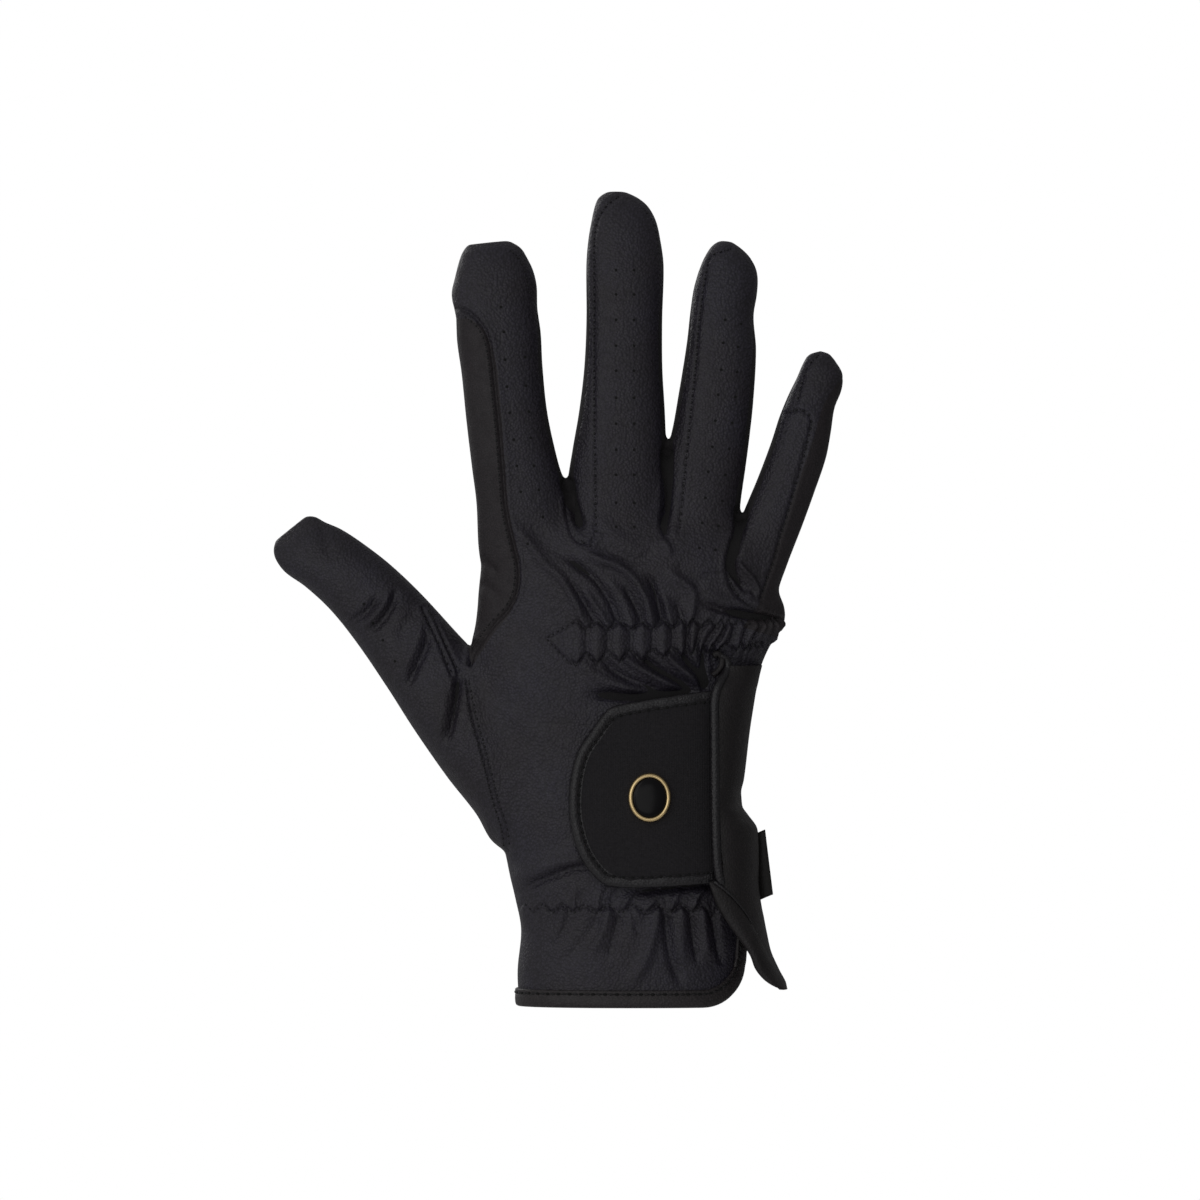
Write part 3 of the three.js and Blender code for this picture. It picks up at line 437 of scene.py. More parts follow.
def joined(parts):
    vertices = []
    faces = []
    start = 0
    for points, polygons in parts:
        vertices.append(np.asarray(points, float))
        faces.extend(tuple(i + start for i in polygon) for polygon in polygons)
        start += len(points)
    return np.vstack(vertices), faces


def make_object(name, vertices, faces, normals=None):
    mesh = bpy.data.meshes.new(name)
    mesh.from_pydata((np.asarray(vertices) * MM).tolist(), [], faces)
    mesh.validate()
    mesh.shade_smooth()
    if normals is not None and len(mesh.vertices) == len(normals):
        mesh.normals_split_custom_set_from_vertices(normals.tolist())
    obj = bpy.data.objects.new(name, mesh)
    bpy.context.scene.collection.objects.link(obj)
    return obj


def piece(name, shape, material, replaces=(), normals=None):
    """Adds a finished piece that rides on the glove and may stand for CAD nodes."""
    obj = make_object(name, shape[0], shape[1], normals)
    obj.data.materials.append(material)
    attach(obj, "root")
    if replaces:
        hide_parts(*replaces)
    return obj


def remeshed(shape, voxel):
    """One closed skin round overlapping closed shapes, as vertices and quads."""
    obj = make_object("skin_grid", *shape)
    modifier = obj.modifiers.new("voxels", "REMESH")
    modifier.mode = "VOXEL"
    modifier.voxel_size = voxel * MM
    modifier.adaptivity = 0
    graph = bpy.context.evaluated_depsgraph_get()
    mesh = bpy.data.meshes.new_from_object(obj.evaluated_get(graph))
    vertices = np.empty(len(mesh.vertices) * 3)
    mesh.vertices.foreach_get("co", vertices)
    corners = np.empty(len(mesh.loops), int)
    mesh.loops.foreach_get("vertex_index", corners)
    old = obj.data
    bpy.data.objects.remove(obj)
    bpy.data.meshes.remove(old)
    bpy.data.meshes.remove(mesh)
    return vertices.reshape(-1, 3) / MM, corners.reshape(-1, 4)


def sides_of(quads):
    """All first sides of the quads, then all second ones and so on, each with its lower point first."""
    return np.sort(np.vstack([quads[:, [k, (k + 1) % 4]] for k in range(4)]), axis=1)


def edges_of(quads):
    return np.unique(sides_of(quads), axis=0)


def averaged(points, edges, count):
    """The mean of each point's neighbours along edges, and how many it has."""
    total = np.zeros((count, points.shape[1]))
    for a, b in ((0, 1), (1, 0)):
        for k in range(points.shape[1]):
            total[:, k] += np.bincount(edges[:, a], weights=points[edges[:, b], k], minlength=count)
    number = np.bincount(edges.ravel(), minlength=count)
    return total / np.maximum(number, 1)[:, None], number


def relaxed(points, edges, rounds, share=0.5, only=None):
    points = points.copy()
    for _ in range(rounds):
        mean, number = averaged(points, edges, len(points))
        move = (mean - points) * share * (number > 0)[:, None]
        points += move if only is None else move * only[:, None]
    return points


def vertex_normals(points, quads):
    a, b, c, d = (points[quads[:, k]] for k in range(4))
    face = np.cross(c - a, d - b)
    normals = np.zeros_like(points)
    for k in range(4):
        for axis in range(3):
            normals[:, axis] += np.bincount(quads[:, k], weights=face[:, axis], minlength=len(points))
    return normals / np.maximum(np.linalg.norm(normals, axis=1), 1e-12)[:, None]


# The skin of the glove before its folds


def section(angles):
    c = np.cos(angles)
    s = np.sin(angles)
    across = np.sign(c) * np.abs(c) ** (2 / BOXINESS)
    deep = np.sign(s) * np.abs(s) ** (2 / BOXINESS)
    return across, deep


def hand_loft(grown=0.0, step=1.0, columns=220, low=0.0):
    z = np.arange(low, HAND_LENGTH + 0.01, step)
    left, right, back, palm = hand_sizes(np.maximum(z, 0)) + grown
    across, deep = section(np.linspace(0, 2 * np.pi, columns, endpoint=False))
    x = ((right - left) / 2)[:, None] + ((left + right) / 2)[:, None] * across
    depth = np.where(deep > 0, back[:, None], palm[:, None])
    y = bend(z)[:, None] - depth * deep
    return loft(np.stack([x, y, np.repeat(z[:, None], columns, axis=1)], axis=-1))


def finger_loft(finger, thinner=0.0, rings=150, columns=96):
    at = np.linspace(finger.rows[0, 0], 1, rings)
    left, right, deep = read(finger.rows, at).T
    scale = (finger.half - thinner) / finger.half
    across, depth = section(np.linspace(0, 2 * np.pi, columns, endpoint=False))
    middle = (right - left) / 2
    half = (left + right) / 2 * scale
    cx, cz = finger.place(at * (finger.length - thinner) / finger.length, middle)
    x = cx[:, None] + (half * finger.half)[:, None] * across * finger.cosine
    z = cz[:, None] - (half * finger.half)[:, None] * across * finger.sine
    centre = 1 + THUMB_BEND * np.maximum(0, at) ** 1.5 if finger is THUMB else bend(cz)
    y = centre[:, None] - (deep * finger.half * scale)[:, None] * depth
    return loft(np.stack([x, y, z], axis=-1))


def refined(points, quads, chosen):
    """Splits each chosen quad in four. Also returns the new points that lie on an unsplit neighbour's edge,
    each with the two ends of that edge."""
    parents = quads[chosen]
    sides = np.sort(np.stack([parents, np.roll(parents, -1, axis=1)], axis=-1).reshape(-1, 2), axis=1)
    edges, index, uses = np.unique(sides, axis=0, return_inverse=True, return_counts=True)
    middles = len(points) + index.reshape(-1, 4)
    centres = len(points) + len(edges) + np.arange(len(parents))
    added = [points, points[edges].mean(axis=1), points[parents].mean(axis=1)]
    split = [
        np.column_stack([parents[:, k], middles[:, k], centres, middles[:, k - 1]])
        for k in range(4)
    ]
    hanging = np.flatnonzero(uses == 1)
    hanging = np.column_stack([len(points) + hanging, edges[hanging]])
    return np.vstack(added), np.vstack([quads[~chosen], *split]), hanging


def detailed(points):
    """True at the points of the back where folds, gathers, seams or webs need the finer grid."""
    x, y = to_pixels(points[:, 0], points[:, 2])
    found = np.zeros(len(x), bool)
    for left, top, low in FINE_REGIONS:
        found |= (x > left) & (y > top) & (y < low)
    narrow = [fold for fold in FOLDS if fold[1] < NARROW_FOLD]
    for _, _, line in list(SEAMS.values()) + WEBS + narrow:
        near, distance, _, _ = along_line(x, y, curve(line), FINE_REACH)
        found[near[distance < FINE_REACH]] = True
    return found & (points[:, 1] < bend(points[:, 2]) + FINE_DEPTH)


def plain_skin():
    """The skin of the hand and its fingers in one, evened where the fingers grow out of the hand."""
    shapes = [hand_loft()] + [finger_loft(finger) for finger in FINGERS]
    points, quads = remeshed(joined(shapes), VOXEL)
    edges = edges_of(quads)
    points = relaxed(points, edges, 4)
    normals = vertex_normals(points, quads)
    z = points[:, 2]
    flat = np.abs(normals[:, 1])
    root = smooth((z - ROOT_LOW) / 8) * smooth((ROOT_HIGH - z) / 8) * smooth((flat - 0.35) / 0.3)
    thumb_root = inside(THUMB_ROOT, points[:, 0], z) * smooth((flat - 0.2) / 0.3)
    return relaxed(points, edges, 120, 0.5, np.maximum(root, thumb_root)), quads


# Folds, gathers and seams of the leather, as a height over the plain skin. Inside these functions x and y are
# pixels of the photograph, lengths across a fold are pixels and heights are millimetres.


def along_line(x, y, line, reach):
    """Which points are near a line, their distance from it, the share of its length there, and which points
    lie on the side that faces the light, up and to the left."""
    line = np.asarray(line, float)
    low = line.min(axis=0) - reach
    high = line.max(axis=0) + reach
    near = np.flatnonzero((x > low[0]) & (x < high[0]) & (y > low[1]) & (y < high[1]))
    best = np.full(len(near), 1e9)
    share = np.zeros(len(near))
    lit = np.zeros(len(near), bool)
    steps = np.hypot(*np.diff(line, axis=0).T)
    total = steps.sum()
    before = 0.0
    for (x0, y0), (x1, y1), step in zip(line[:-1], line[1:], steps):
        t = np.clip(((x[near] - x0) * (x1 - x0) + (y[near] - y0) * (y1 - y0)) / step**2, 0, 1)
        off_x = x[near] - x0 - t * (x1 - x0)
        off_y = y[near] - y0 - t * (y1 - y0)
        distance = np.hypot(off_x, off_y)
        closer = distance < best
        best[closer] = distance[closer]
        share[closer] = (before + t * step)[closer] / total
        lit[closer] = (off_x + 0.4 * off_y < 0)[closer]
        before += step
    return near, best, share, lit


# Folds: height in millimetres, half width in pixels, and the points of the fold's crest or crease. Those that
# run into gathers are drawn past the zigzag that holds them, and stop there.
FOLDS = [
    # Back of the hand, from the index finger down to the gathers
    (1.3, 5, [
        (508, 512), (516, 527), (530, 543), (545, 563), (561, 577), (571, 592), (580, 612), (590, 640),
    ]),
    (-0.5, 7, [(520, 514), (536, 532), (556, 550), (579, 567), (594, 582)]),
    (-1.3, 4, [(556, 550), (579, 567), (594, 579), (605, 594), (613, 610), (619, 628), (622, 645)]),
    (-0.9, 3.4, [(565, 574), (577, 592), (587, 608), (596, 624), (602, 640)]),
    (0.7, 3.6, [(582, 584), (592, 600), (602, 614), (609, 628), (613, 640)]),
    (1.7, 4.8, [
        (574, 545), (587, 553), (605, 562), (623, 569), (636, 581), (645, 597), (650, 614), (652, 640),
    ]),
    (-1.5, 4, [(643, 568), (651, 583), (656, 598), (660, 614), (663, 640)]),
    (0.8, 5, [(603, 574), (616, 588), (625, 604), (631, 622), (633, 640)]),
    (-0.9, 3.4, [(622, 582), (632, 600), (639, 615), (643, 640)]),
    (-0.8, 6, [(588, 543), (608, 549), (626, 557), (638, 560), (648, 555), (655, 542)]),
    (0.4, 7, [(598, 512), (608, 526), (622, 541), (640, 549)]),
    (0.8, 4, [(664, 590), (668, 610), (672, 628), (673, 640)]),
    (-0.9, 3.2, [(674, 596), (679, 612), (682, 626), (683, 640)]),
    (1.1, 5, [(662, 566), (676, 577), (689, 587), (694, 596), (692, 610), (690, 640)]),
    (-1.3, 3.4, [(693, 600), (703, 603), (720, 609), (738, 613), (760, 617), (790, 622)]),
    (-2.4, 4.6, [(722, 610), (740, 613), (756, 616), (770, 619), (796, 625)]),
    (0.8, 5, [(696, 592), (722, 600), (745, 605), (776, 609)]),
    (-0.6, 8, [(674, 563), (690, 576), (706, 588)]),
    (-0.5, 4, [(698, 575), (712, 575), (730, 572)]),
    (0.8, 3.6, [(661, 538), (667, 546), (671, 557)]),
    # Base of the little finger
    (1.3, 3, [(731, 556), (742, 568), (752, 579), (757, 591), (755, 602)]),
    (-1.7, 3.6, [(729, 552), (733, 572), (741, 585), (751, 596)]),
    (0.7, 3, [(740, 583), (747, 592), (752, 600)]),
    # Between the gathers and the strap
    (1.5, 3.6, [(660, 640), (668, 656), (682, 669), (702, 685)]),
    (1.4, 4, [(610, 640), (628, 660), (650, 673), (686, 690)]),
    (1.0, 6, [(572, 650), (592, 672), (616, 684), (648, 693)]),
    (-1.9, 4.4, [(674, 640), (686, 660), (697, 672), (706, 688)]),
    (-1.9, 5, [(628, 642), (650, 664), (674, 679), (700, 692)]),
    (-1.5, 5, [(596, 650), (616, 672), (640, 683), (668, 692)]),
    (-2.3, 5.5, [(580, 692), (604, 694), (640, 696), (676, 693), (706, 690)]),
    (-1.7, 4, [(701, 634), (702, 655), (703, 675), (703, 696)]),
    (-1.2, 9, [(715, 640), (715, 660), (712, 680), (708, 700)]),
    (0.35, 6, [(504, 672), (529, 692), (560, 713), (592, 726)]),
    (0.3, 7, [(484, 700), (507, 712), (530, 726), (566, 746)]),
    # Above the cuff's gathers, beside and below the strap
    (1.1, 8, [(506, 884), (528, 872), (546, 865), (566, 859), (600, 854)]),
    (-1.3, 4.6, [(514, 893), (534, 882), (550, 875), (568, 868), (588, 864), (612, 864)]),
    (-1.6, 4.6, [(618, 891), (650, 888), (680, 885), (704, 883), (730, 884)]),
    (0.9, 3.6, [(668, 918), (674, 898), (684, 884)]),
    (1.2, 3.6, [(690, 918), (696, 896), (708, 883)]),
    (0.9, 3.6, [(619, 918), (627, 898), (640, 884)]),
    (0.7, 3.6, [(645, 918), (652, 900), (664, 886)]),
    (0.6, 3.2, [(572, 918), (575, 896), (578, 882)]),
    (0.6, 3.2, [(596, 918), (599, 896), (604, 882)]),
    (-0.6, 3.2, [(609, 912), (612, 896), (622, 884)]),
    (0.5, 3.6, [(551, 918), (551, 900), (556, 886)]),
    # Flutes of the cuff
    (0.8, 5, [(612, 898), (604, 928), (590, 956)]),
    (-0.5, 6, [(604, 905), (584, 938), (556, 966)]),
    (-0.8, 5, [(620, 900), (616, 928), (606, 960)]),
    (0.5, 5, [(566, 898), (561, 920), (552, 944)]),
    (-0.4, 4, [(573, 900), (566, 922), (556, 946)]),
    (0.5, 5, [(638, 898), (634, 918), (630, 940)]),
    (-0.5, 3.4, [(632, 898), (634, 915), (636, 932)]),
    (1.2, 6, [(660, 892), (656, 920), (647, 954), (628, 988)]),
    (-1.4, 5, [(665, 892), (666, 925), (671, 956), (684, 990)]),
    (1.0, 7, [(681, 892), (681, 925), (682, 966)]),
    (-1.1, 4, [(690, 898), (692, 930), (698, 966)]),
    (0.9, 5, [(701, 896), (704, 925), (708, 962)]),
    (-1.2, 4, [(709, 896), (715, 930), (722, 968)]),
    # Thumb
    (-1.2, 4.4, [(342, 626), (356, 618), (368, 609), (380, 592)]),
    (0.9, 4, [(360, 630), (375, 616), (385, 603), (391, 585)]),
    (-1.2, 4, [(366, 634), (380, 622), (391, 606), (398, 586)]),
    (-0.6, 6, [(396, 640), (406, 624), (417, 606)]),
    (0.7, 4, [(424, 614), (418, 640), (409, 660), (402, 682)]),
    (-1.5, 4.4, [(432, 628), (423, 652), (414, 670), (404, 692)]),
    (-2.0, 4.6, [(460, 662), (457, 692), (452, 717), (444, 748)]),
    (0.6, 4, [(448, 684), (443, 712), (437, 744)]),
    (-0.5, 6, [(319, 524), (325, 540), (330, 560)]),
    # Outer side of the index finger's root
    (-0.6, 4, [(476, 557), (488, 565), (500, 576)]),
    (-0.6, 5, [(476, 580), (490, 590), (503, 602)]),
]

# Soft creases of the palm and of the palm side of the fingers, in the same terms.
PALM_FOLDS = [
    (-0.7, 6, [(482, 650), (515, 690), (542, 745), (550, 800), (545, 850)]),
    (-0.6, 5, [(480, 636), (540, 640), (600, 662), (655, 695)]),
    (-0.6, 5, [(742, 628), (700, 612), (650, 606), (605, 590), (580, 570)]),
    (0.5, 9, [(500, 640), (560, 648), (620, 678)]),
    (0.4, 9, [(575, 740), (590, 800), (588, 860)]),
    (-0.6, 4, [(486, 524), (520, 516), (560, 520)]),
    (-0.6, 4, [(580, 548), (620, 553), (664, 548)]),
    (-0.6, 4, [(676, 553), (705, 556), (735, 552)]),
    (-0.6, 4, [(742, 588), (762, 592), (784, 586)]),
    (-0.5, 3.6, [(470, 412), (505, 407), (542, 412)]),
    (-0.5, 3.6, [(460, 340), (495, 335), (538, 340)]),
    (-0.5, 3.6, [(584, 412), (620, 408), (662, 412)]),
    (-0.5, 3.6, [(586, 320), (624, 315), (662, 320)]),
    (-0.5, 3.6, [(684, 420), (715, 416), (750, 420)]),
    (-0.5, 3.6, [(696, 335), (726, 331), (756, 335)]),
    (-0.5, 3.2, [(766, 470), (790, 466), (822, 472)]),
    (-0.5, 3.2, [(792, 412), (812, 409), (836, 414)]),
    (-0.5, 4, [(322, 606), (340, 590), (362, 572)]),
    (-0.5, 4, [(396, 690), (412, 668), (432, 640)]),
]
PALM_FOLDS += [(0.45, 6, [(x, 878), (x - 4, 912), (x - 10, 960)]) for x in range(552, 720, 23)]
PALM_FOLDS += [(-0.4, 4, [(x + 11, 884), (x + 8, 912), (x + 3, 950)]) for x in range(552, 720, 23)]

# Seams sunk into the leather: depth in millimetres, half width in pixels, and their points.
SEAMS = {
    "index": (0.7, 1.8, [
        (452, 307), (468, 312), (481, 324), (488, 337), (492, 357), (496, 395), (500, 433), (503, 471),
        (506, 509), (514, 545), (519, 569), (517, 593), (508, 610), (493, 626), (474, 653), (471, 664),
    ]),
    "thumb": (0.4, 2.0, [(467, 676), (473, 713), (484, 753), (497, 804), (504, 825), (508, 850)]),
    "thumb_top": (0.6, 1.6, [(423, 608), (439, 642), (452, 674)]),
    "thumb_top_far": (0.6, 1.6, [(429, 606), (444, 640), (458, 670)]),
    "crotch": (0.5, 1.8, [(473, 642), (470, 654), (470, 664)]),
    "middle_left": (0.3, 1.8, [
        (619, 195), (607, 204), (599, 216), (595, 230), (594, 243), (594, 300), (594, 400), (595, 470),
        (596, 535),
    ]),
    "middle_base": (0.5, 1.8, [(566, 500), (567, 514), (572, 534), (579, 542), (588, 543), (595, 538)]),
    "ring_left": (0.3, 1.8, [
        (731, 248), (711, 256), (706, 273), (702, 298), (698, 332), (696, 360), (690, 416), (686, 458),
        (682, 500), (679, 531),
    ]),
    "little_head": (0.3, 1.8, [(819, 354), (808, 366), (801, 385), (797, 402)]),
    "patch": (0.35, 1.8, [
        (786, 413), (797, 410), (805, 412), (811, 419), (809, 433), (802, 461), (795, 486), (787, 514),
        (780, 536), (774, 559), (766, 581), (759, 601),
    ]),
    "little_left": (0.6, 2.0, [(732, 540), (727, 564), (730, 584), (742, 600), (758, 610)]),
}
WEBS = [
    (3.2, 4.6, [(567, 476), (571, 500), (576, 515), (584, 532)]),
    (3.2, 4, [(667, 440), (667, 480), (666, 505), (664, 525), (669, 545)]),
    (3.0, 4.6, [(741, 502), (740, 525), (736, 545), (732, 562), (735, 584)]),
]
# Where the skin is evened: round the thumb's root, and between two heights round the roots of the fingers.
THUMB_ROOT = pixels((440, 640), (500, 640), (540, 860), (500, 870))
ROOT_LOW = 124
ROOT_HIGH = 157

# Where the skin's mesh is finer: in the gathers, right of a pixel and between two heights, and beside each
# seam, web and narrow fold. Its depth is counted from the middle of the hand.
FINE_REGIONS = [(540, 596, 700), (510, 872, 950), (560, 540, 600)]
FINE_REACH = 7
FINE_DEPTH = 6
NARROW_FOLD = 5

# Gathered band over the knuckles: its zigzags peak at these pixels, and touch at its pointed left end.
RUCHE_PEAKS = [
    531, 554, 577, 597, 619, 642, 663, 681, 692, 703, 715, 724, 738, 748, 756, 766, 772, 781, 786, 792,
]
RUCHE_START = 2
# The cuff's single zigzag peaks at these.
CUFF_PEAKS = [506, 524, 543, 562.5, 585, 608.5, 633, 657.5, 680.5, 701, 720, 738, 756]


def wave(phase):
    """A zigzag from 1 at whole phases to 0 halfway between them."""
    return 1 - 2 * np.abs(phase - np.round(phase))


def ruche_phase(x, y):
    """Which puff of the band a pixel is in, as a number that is whole at its middle. The right ones lean."""
    lean = (0.45 + 0.25 * np.sin(x / 7)) * smooth((x - 682) / 20)
    return np.interp(x + lean * (y - 636), RUCHE_PEAKS, np.arange(len(RUCHE_PEAKS)) - RUCHE_START)


def ruche_lines(x):
    """The upper and the lower zigzag at pixels x."""
    started = x > 560
    high = np.interp(x, [546, 577, 640, 690, 790], [640, 629, 630, 627, 624])
    high = high - np.interp(x, [690, 730], [8.5, 5.5]) * wave(ruche_phase(x, 626)) * started
    low = np.interp(x, [546, 573, 640, 690, 790], [638, 652, 649.5, 645, 640])
    low = low + np.interp(x, [560, 573, 690, 790], [13, 13, 10, 6]) * wave(ruche_phase(x, 648)) * started
    share = np.clip((x - 546) / 31, 0, 1)
    high = np.where(x < 577, 638 - 17.5 * share, high)
    low = np.where(x < 573, 638 + 31 * share, low)
    return high, low


def puff(phase):
    """Height across one puff, from 1 at its middle to 0 in the creases beside it."""
    return 1 - np.abs(2 * (phase - np.round(phase))) ** 1.5


def ruche(x, y):
    high, low = ruche_lines(x)
    phase = ruche_phase(x, y)
    start = smooth((x - 544) / 8)
    first = (x < 577) & (phase < 0.5)
    swell = np.where(first, 0.8, puff(phase))
    within = (y > high) & (y < low)
    pinch = (1 - 0.9 * np.exp(-(((y - high) / 2.6) ** 2))) * (1 - 0.9 * np.exp(-(((y - low) / 2.6) ** 2)))
    growth = 0.45 + 0.55 * smooth((x - 560) / 50)
    uneven = 1 + 0.25 * np.sin(2.3 * np.round(phase) + 0.05 * y) * smooth((x - 680) / 20)
    rise = 1.5 * within * swell * pinch * growth * uneven
    gap = puff(phase + 0.5)
    reach = smooth((x - 566) / 20)
    above = np.exp(-np.maximum(high - y, 0) / 9.0) * (y <= high)
    below = np.exp(-np.maximum(y - low, 0) / 8.0) * (y >= low)
    rise += (0.7 * above + 0.8 * below) * gap * pinch * reach
    for line in (high, low):
        rise -= 0.25 * np.exp(-(((y - line) / 1.6) ** 2)) * (y > 600) * (x > 544)
    return rise * start


def outside_ruche(x, y):
    """0 inside the gathered band, and 1 from a few pixels outside it."""
    high, low = ruche_lines(x)
    beyond = np.maximum(high - y, y - low)
    return np.where((x > 546) & (x < 800), smooth((beyond + 1) / 5), 1.0)


def cuff_phase(x):
    return np.interp(x, CUFF_PEAKS, np.arange(len(CUFF_PEAKS)))


def cuff_line(x):
    return 911.5 - 9.5 * wave(cuff_phase(x))


def off_cuff_line(x, y):
    """0 on the cuff's zigzag, and 1 from a few pixels off it."""
    return np.where((x > 516) & (x < 740), smooth((np.abs(y - cuff_line(x)) - 0.5) / 5), 1.0)


def cuff_gathers(x, y):
    phase = cuff_phase(x)
    line = cuff_line(x)
    across = smooth((x - 514) / 12) * smooth((738 - x) / 8)
    fade = smooth((938 - y) / 34) * (y >= line)
    above = np.exp(-np.maximum(line - y, 0) / 9.0) * (y < line)
    rise = (0.55 * fade * puff(phase) + 0.7 * above * puff(phase + 0.5)) * off_cuff_line(x, y)
    rise -= 0.2 * np.exp(-(((y - line) / 1.5) ** 2))
    return rise * across


def ridge(x, y, height, width, points):
    """A fold that fades towards both of its ends. It leans a little away from the light: the far side of a
    crest is its steeper one, and so is the near side of a crease."""
    rise = np.zeros(len(x))
    near, distance, share, lit = along_line(x, y, curve(points), 4 * width)
    fade = smooth(share / 0.25) * smooth((1 - share) / 0.25)
    wide = np.where(lit == (height > 0), 1.1 * width, 0.85 * width)
    rise[near] = height * np.exp(-((distance / wide) ** 2)) * fade
    return rise


def groove(x, y, depth, width, points):
    """A sewn seam: a narrow groove with slightly puffed lips."""
    rise = np.zeros(len(x))
    near, distance, _, _ = along_line(x, y, curve(points), 5 * width)
    valley = np.exp(-((distance / width) ** 2))
    lips = np.exp(-(((distance - 2.6 * width) / (1.6 * width)) ** 2))
    rise[near] = 0.35 * depth * lips - depth * valley
    return rise


def strap_cover(x, y):
    """How much of the skin's relief the strap presses flat, from 0 to 1."""
    line = strap_line()
    outline = np.column_stack(to_pixels(line[:, 0], line[:, 1]))
    near, distance, _, _ = along_line(x, y, outline[::6], 10)
    within = inside(outline, x, y)
    depth = np.where(within, 10.0, -10.0)
    depth[near] = np.where(within[near], 1, -1) * np.minimum(distance, 10)
    return smooth((depth + 1) / 7)


def front_relief(points):
    x, y = to_pixels(points[:, 0], points[:, 2])
    folds = np.zeros(len(x))
    for height, width, line in FOLDS:
        folds += ridge(x, y, height, width, line)
    rise = folds * outside_ruche(x, y) * off_cuff_line(x, y) + ruche(x, y) + cuff_gathers(x, y)
    rise *= 1 - strap_cover(x, y)
    for depth, width, line in SEAMS.values():
        rise += groove(x, y, depth, width, line)
    for depth, width, line in WEBS:
        near, distance, share, _ = along_line(x, y, curve(line), 4 * width)
        fade = smooth(share / 0.15) * smooth((1 - share) / 0.3)
        rise[near] -= depth * np.exp(-((distance / width) ** 2)) * fade
    return rise


def palm_relief(points):
    x, y = to_pixels(points[:, 0], points[:, 2])
    rise = np.zeros(len(x))
    for height, width, line in PALM_FOLDS:
        rise += ridge(x, y, PALM_DEPTH * height, width, line)
    return rise


def closed_up(points, hanging):
    """Puts each hanging point back in the middle of its edge, so that no crack opens beside it."""
    points[hanging[:, 0]] = points[hanging[:, 1:]].mean(axis=1)
    return points


def folded_skin():
    """The skin with its folds, its quads, its normals and its hanging points."""
    points, quads = plain_skin()
    points, quads, hanging = refined(points, quads, detailed(points)[quads].any(axis=1))
    normals = vertex_normals(points, quads)
    facing = smooth((-normals[:, 1] - 0.05) / 0.35)
    from_behind = smooth((normals[:, 1] - 0.1) / 0.4)
    rise = front_relief(points) * facing + palm_relief(points) * from_behind
    points = closed_up(points + normals * rise[:, None], hanging)
    normals = closed_up(vertex_normals(points, quads), hanging)
    return points, quads, normals / np.linalg.norm(normals, axis=1)[:, None], hanging


# Which panel each face of the skin belongs to


def inside(polygon, x, z):
    result = np.zeros(len(x), bool)
    for (x0, z0), (x1, z1) in zip(polygon, np.roll(polygon, -1, axis=0)):
        if z0 != z1:
            crosses = (z0 > z) != (z1 > z)
            result ^= crosses & (x < (x1 - x0) * (z - z0) / (z1 - z0) + x0)
    return result


def finger_outline(finger, rows):
    at, side = np.array(rows, float).T
    return np.column_stack(finger.place(at, side))


def in_band(finger, side, x, y, z):
    """The side of a finger where a fourchette is sewn in."""
    at, across = finger.share(x, z)
    taper = 1 - 0.8 * smooth((at - 0.6) / (BAND_TOP - 0.6))
    height = y - bend(z)
    return (
        (at > BAND_LOW)
        & (at < BAND_TOP)
        & (across * side > 0.3)
        & (across * side < 1.5)
        & (height > -FOURCHETTE_FRONT * taper)
        & (height < FOURCHETTE_REAR * taper)
    )


PANELS = [
    "back_panel", "palm_panel", "thumb_piece", "index_side_panel", "little_side_panel",
    "little_rein_patch", "little_tip_cap",
    "fourchette_index_middle", "fourchette_middle_ring", "fourchette_ring_little",
    "cut_away",
]


def slit_edge(z):
    return np.interp(z, [SLIT_FOOT, 42.6, 71, 88, 93, FLAP_HIGH], [28.6, 25.1, 23.1, 23.1, 25.5, 28])


def beyond_hem(x, y, z, inset):
    """True where the wall ends: below the hem's round corners and right of the slit."""
    right = CORNER_RIGHT - inset
    radius = CUFF_CORNER - inset
    corner_x = right - radius
    corner_z = inset + radius
    round_corner = (x > corner_x) & (z < corner_z) & (np.hypot(x - corner_x, z - corner_z) > radius)
    low = (z < inset) | round_corner
    beside = (z < SLIT_FOOT) & (x > right)
    slit = (z < FLAP_HIGH - 3) & (z >= SLIT_FOOT) & (x > slit_edge(z) - inset) & (y < FLAP_WRAP)
    return low | beside | slit


def panel_of_faces(points, quads):
    """The number of each face's panel. Where panels overlap, the last one named has the face."""
    x, y, z = points[quads].mean(axis=1).T
    front = y < bend(z)

    def within(finger, outline):
        return inside(finger_outline(finger, outline), x, z)

    def between(one, other):
        return in_band(one, 1, x, y, z) | in_band(other, -1, x, y, z)

    areas = {
        "palm_panel": ~front,
        "back_panel": front,
        "little_tip_cap": within(LITTLE, TIP_BOX) & front,
        "little_rein_patch": within(LITTLE, PATCH_LINE + PATCH_HEAD) & front,
        "index_side_panel": within(INDEX, INDEX_SEAM),
        "little_side_panel": within(LITTLE, PATCH_LINE + SIDE_HEAD) & (y < bend(z) + LITTLE_SIDE_WRAP),
        "fourchette_index_middle": between(INDEX, MIDDLE),
        "fourchette_middle_ring": between(MIDDLE, RING),
        "fourchette_ring_little": between(RING, LITTLE),
        "thumb_piece": inside(np.array(THUMB_SEAM) * [HAND_WIDTH, HAND_LENGTH], x, z),
        "cut_away": beyond_hem(x, y, z, HEM_THICKNESS + GAP),
    }
    labels = np.zeros(len(quads), int)
    for name, area in areas.items():
        labels[area] = PANELS.index(name)
    return lone_faces_given(quads, labels)


def shared_edges(quads):
    """Every edge between two faces, with the numbers of those faces."""
    sides = sides_of(quads)
    owner = np.tile(np.arange(len(quads)), 4)
    order = np.lexsort((sides[:, 1], sides[:, 0]))
    sides = sides[order]
    owner = owner[order]
    paired = (sides[:-1] == sides[1:]).all(axis=1)
    return sides[:-1][paired], owner[:-1][paired], owner[1:][paired]


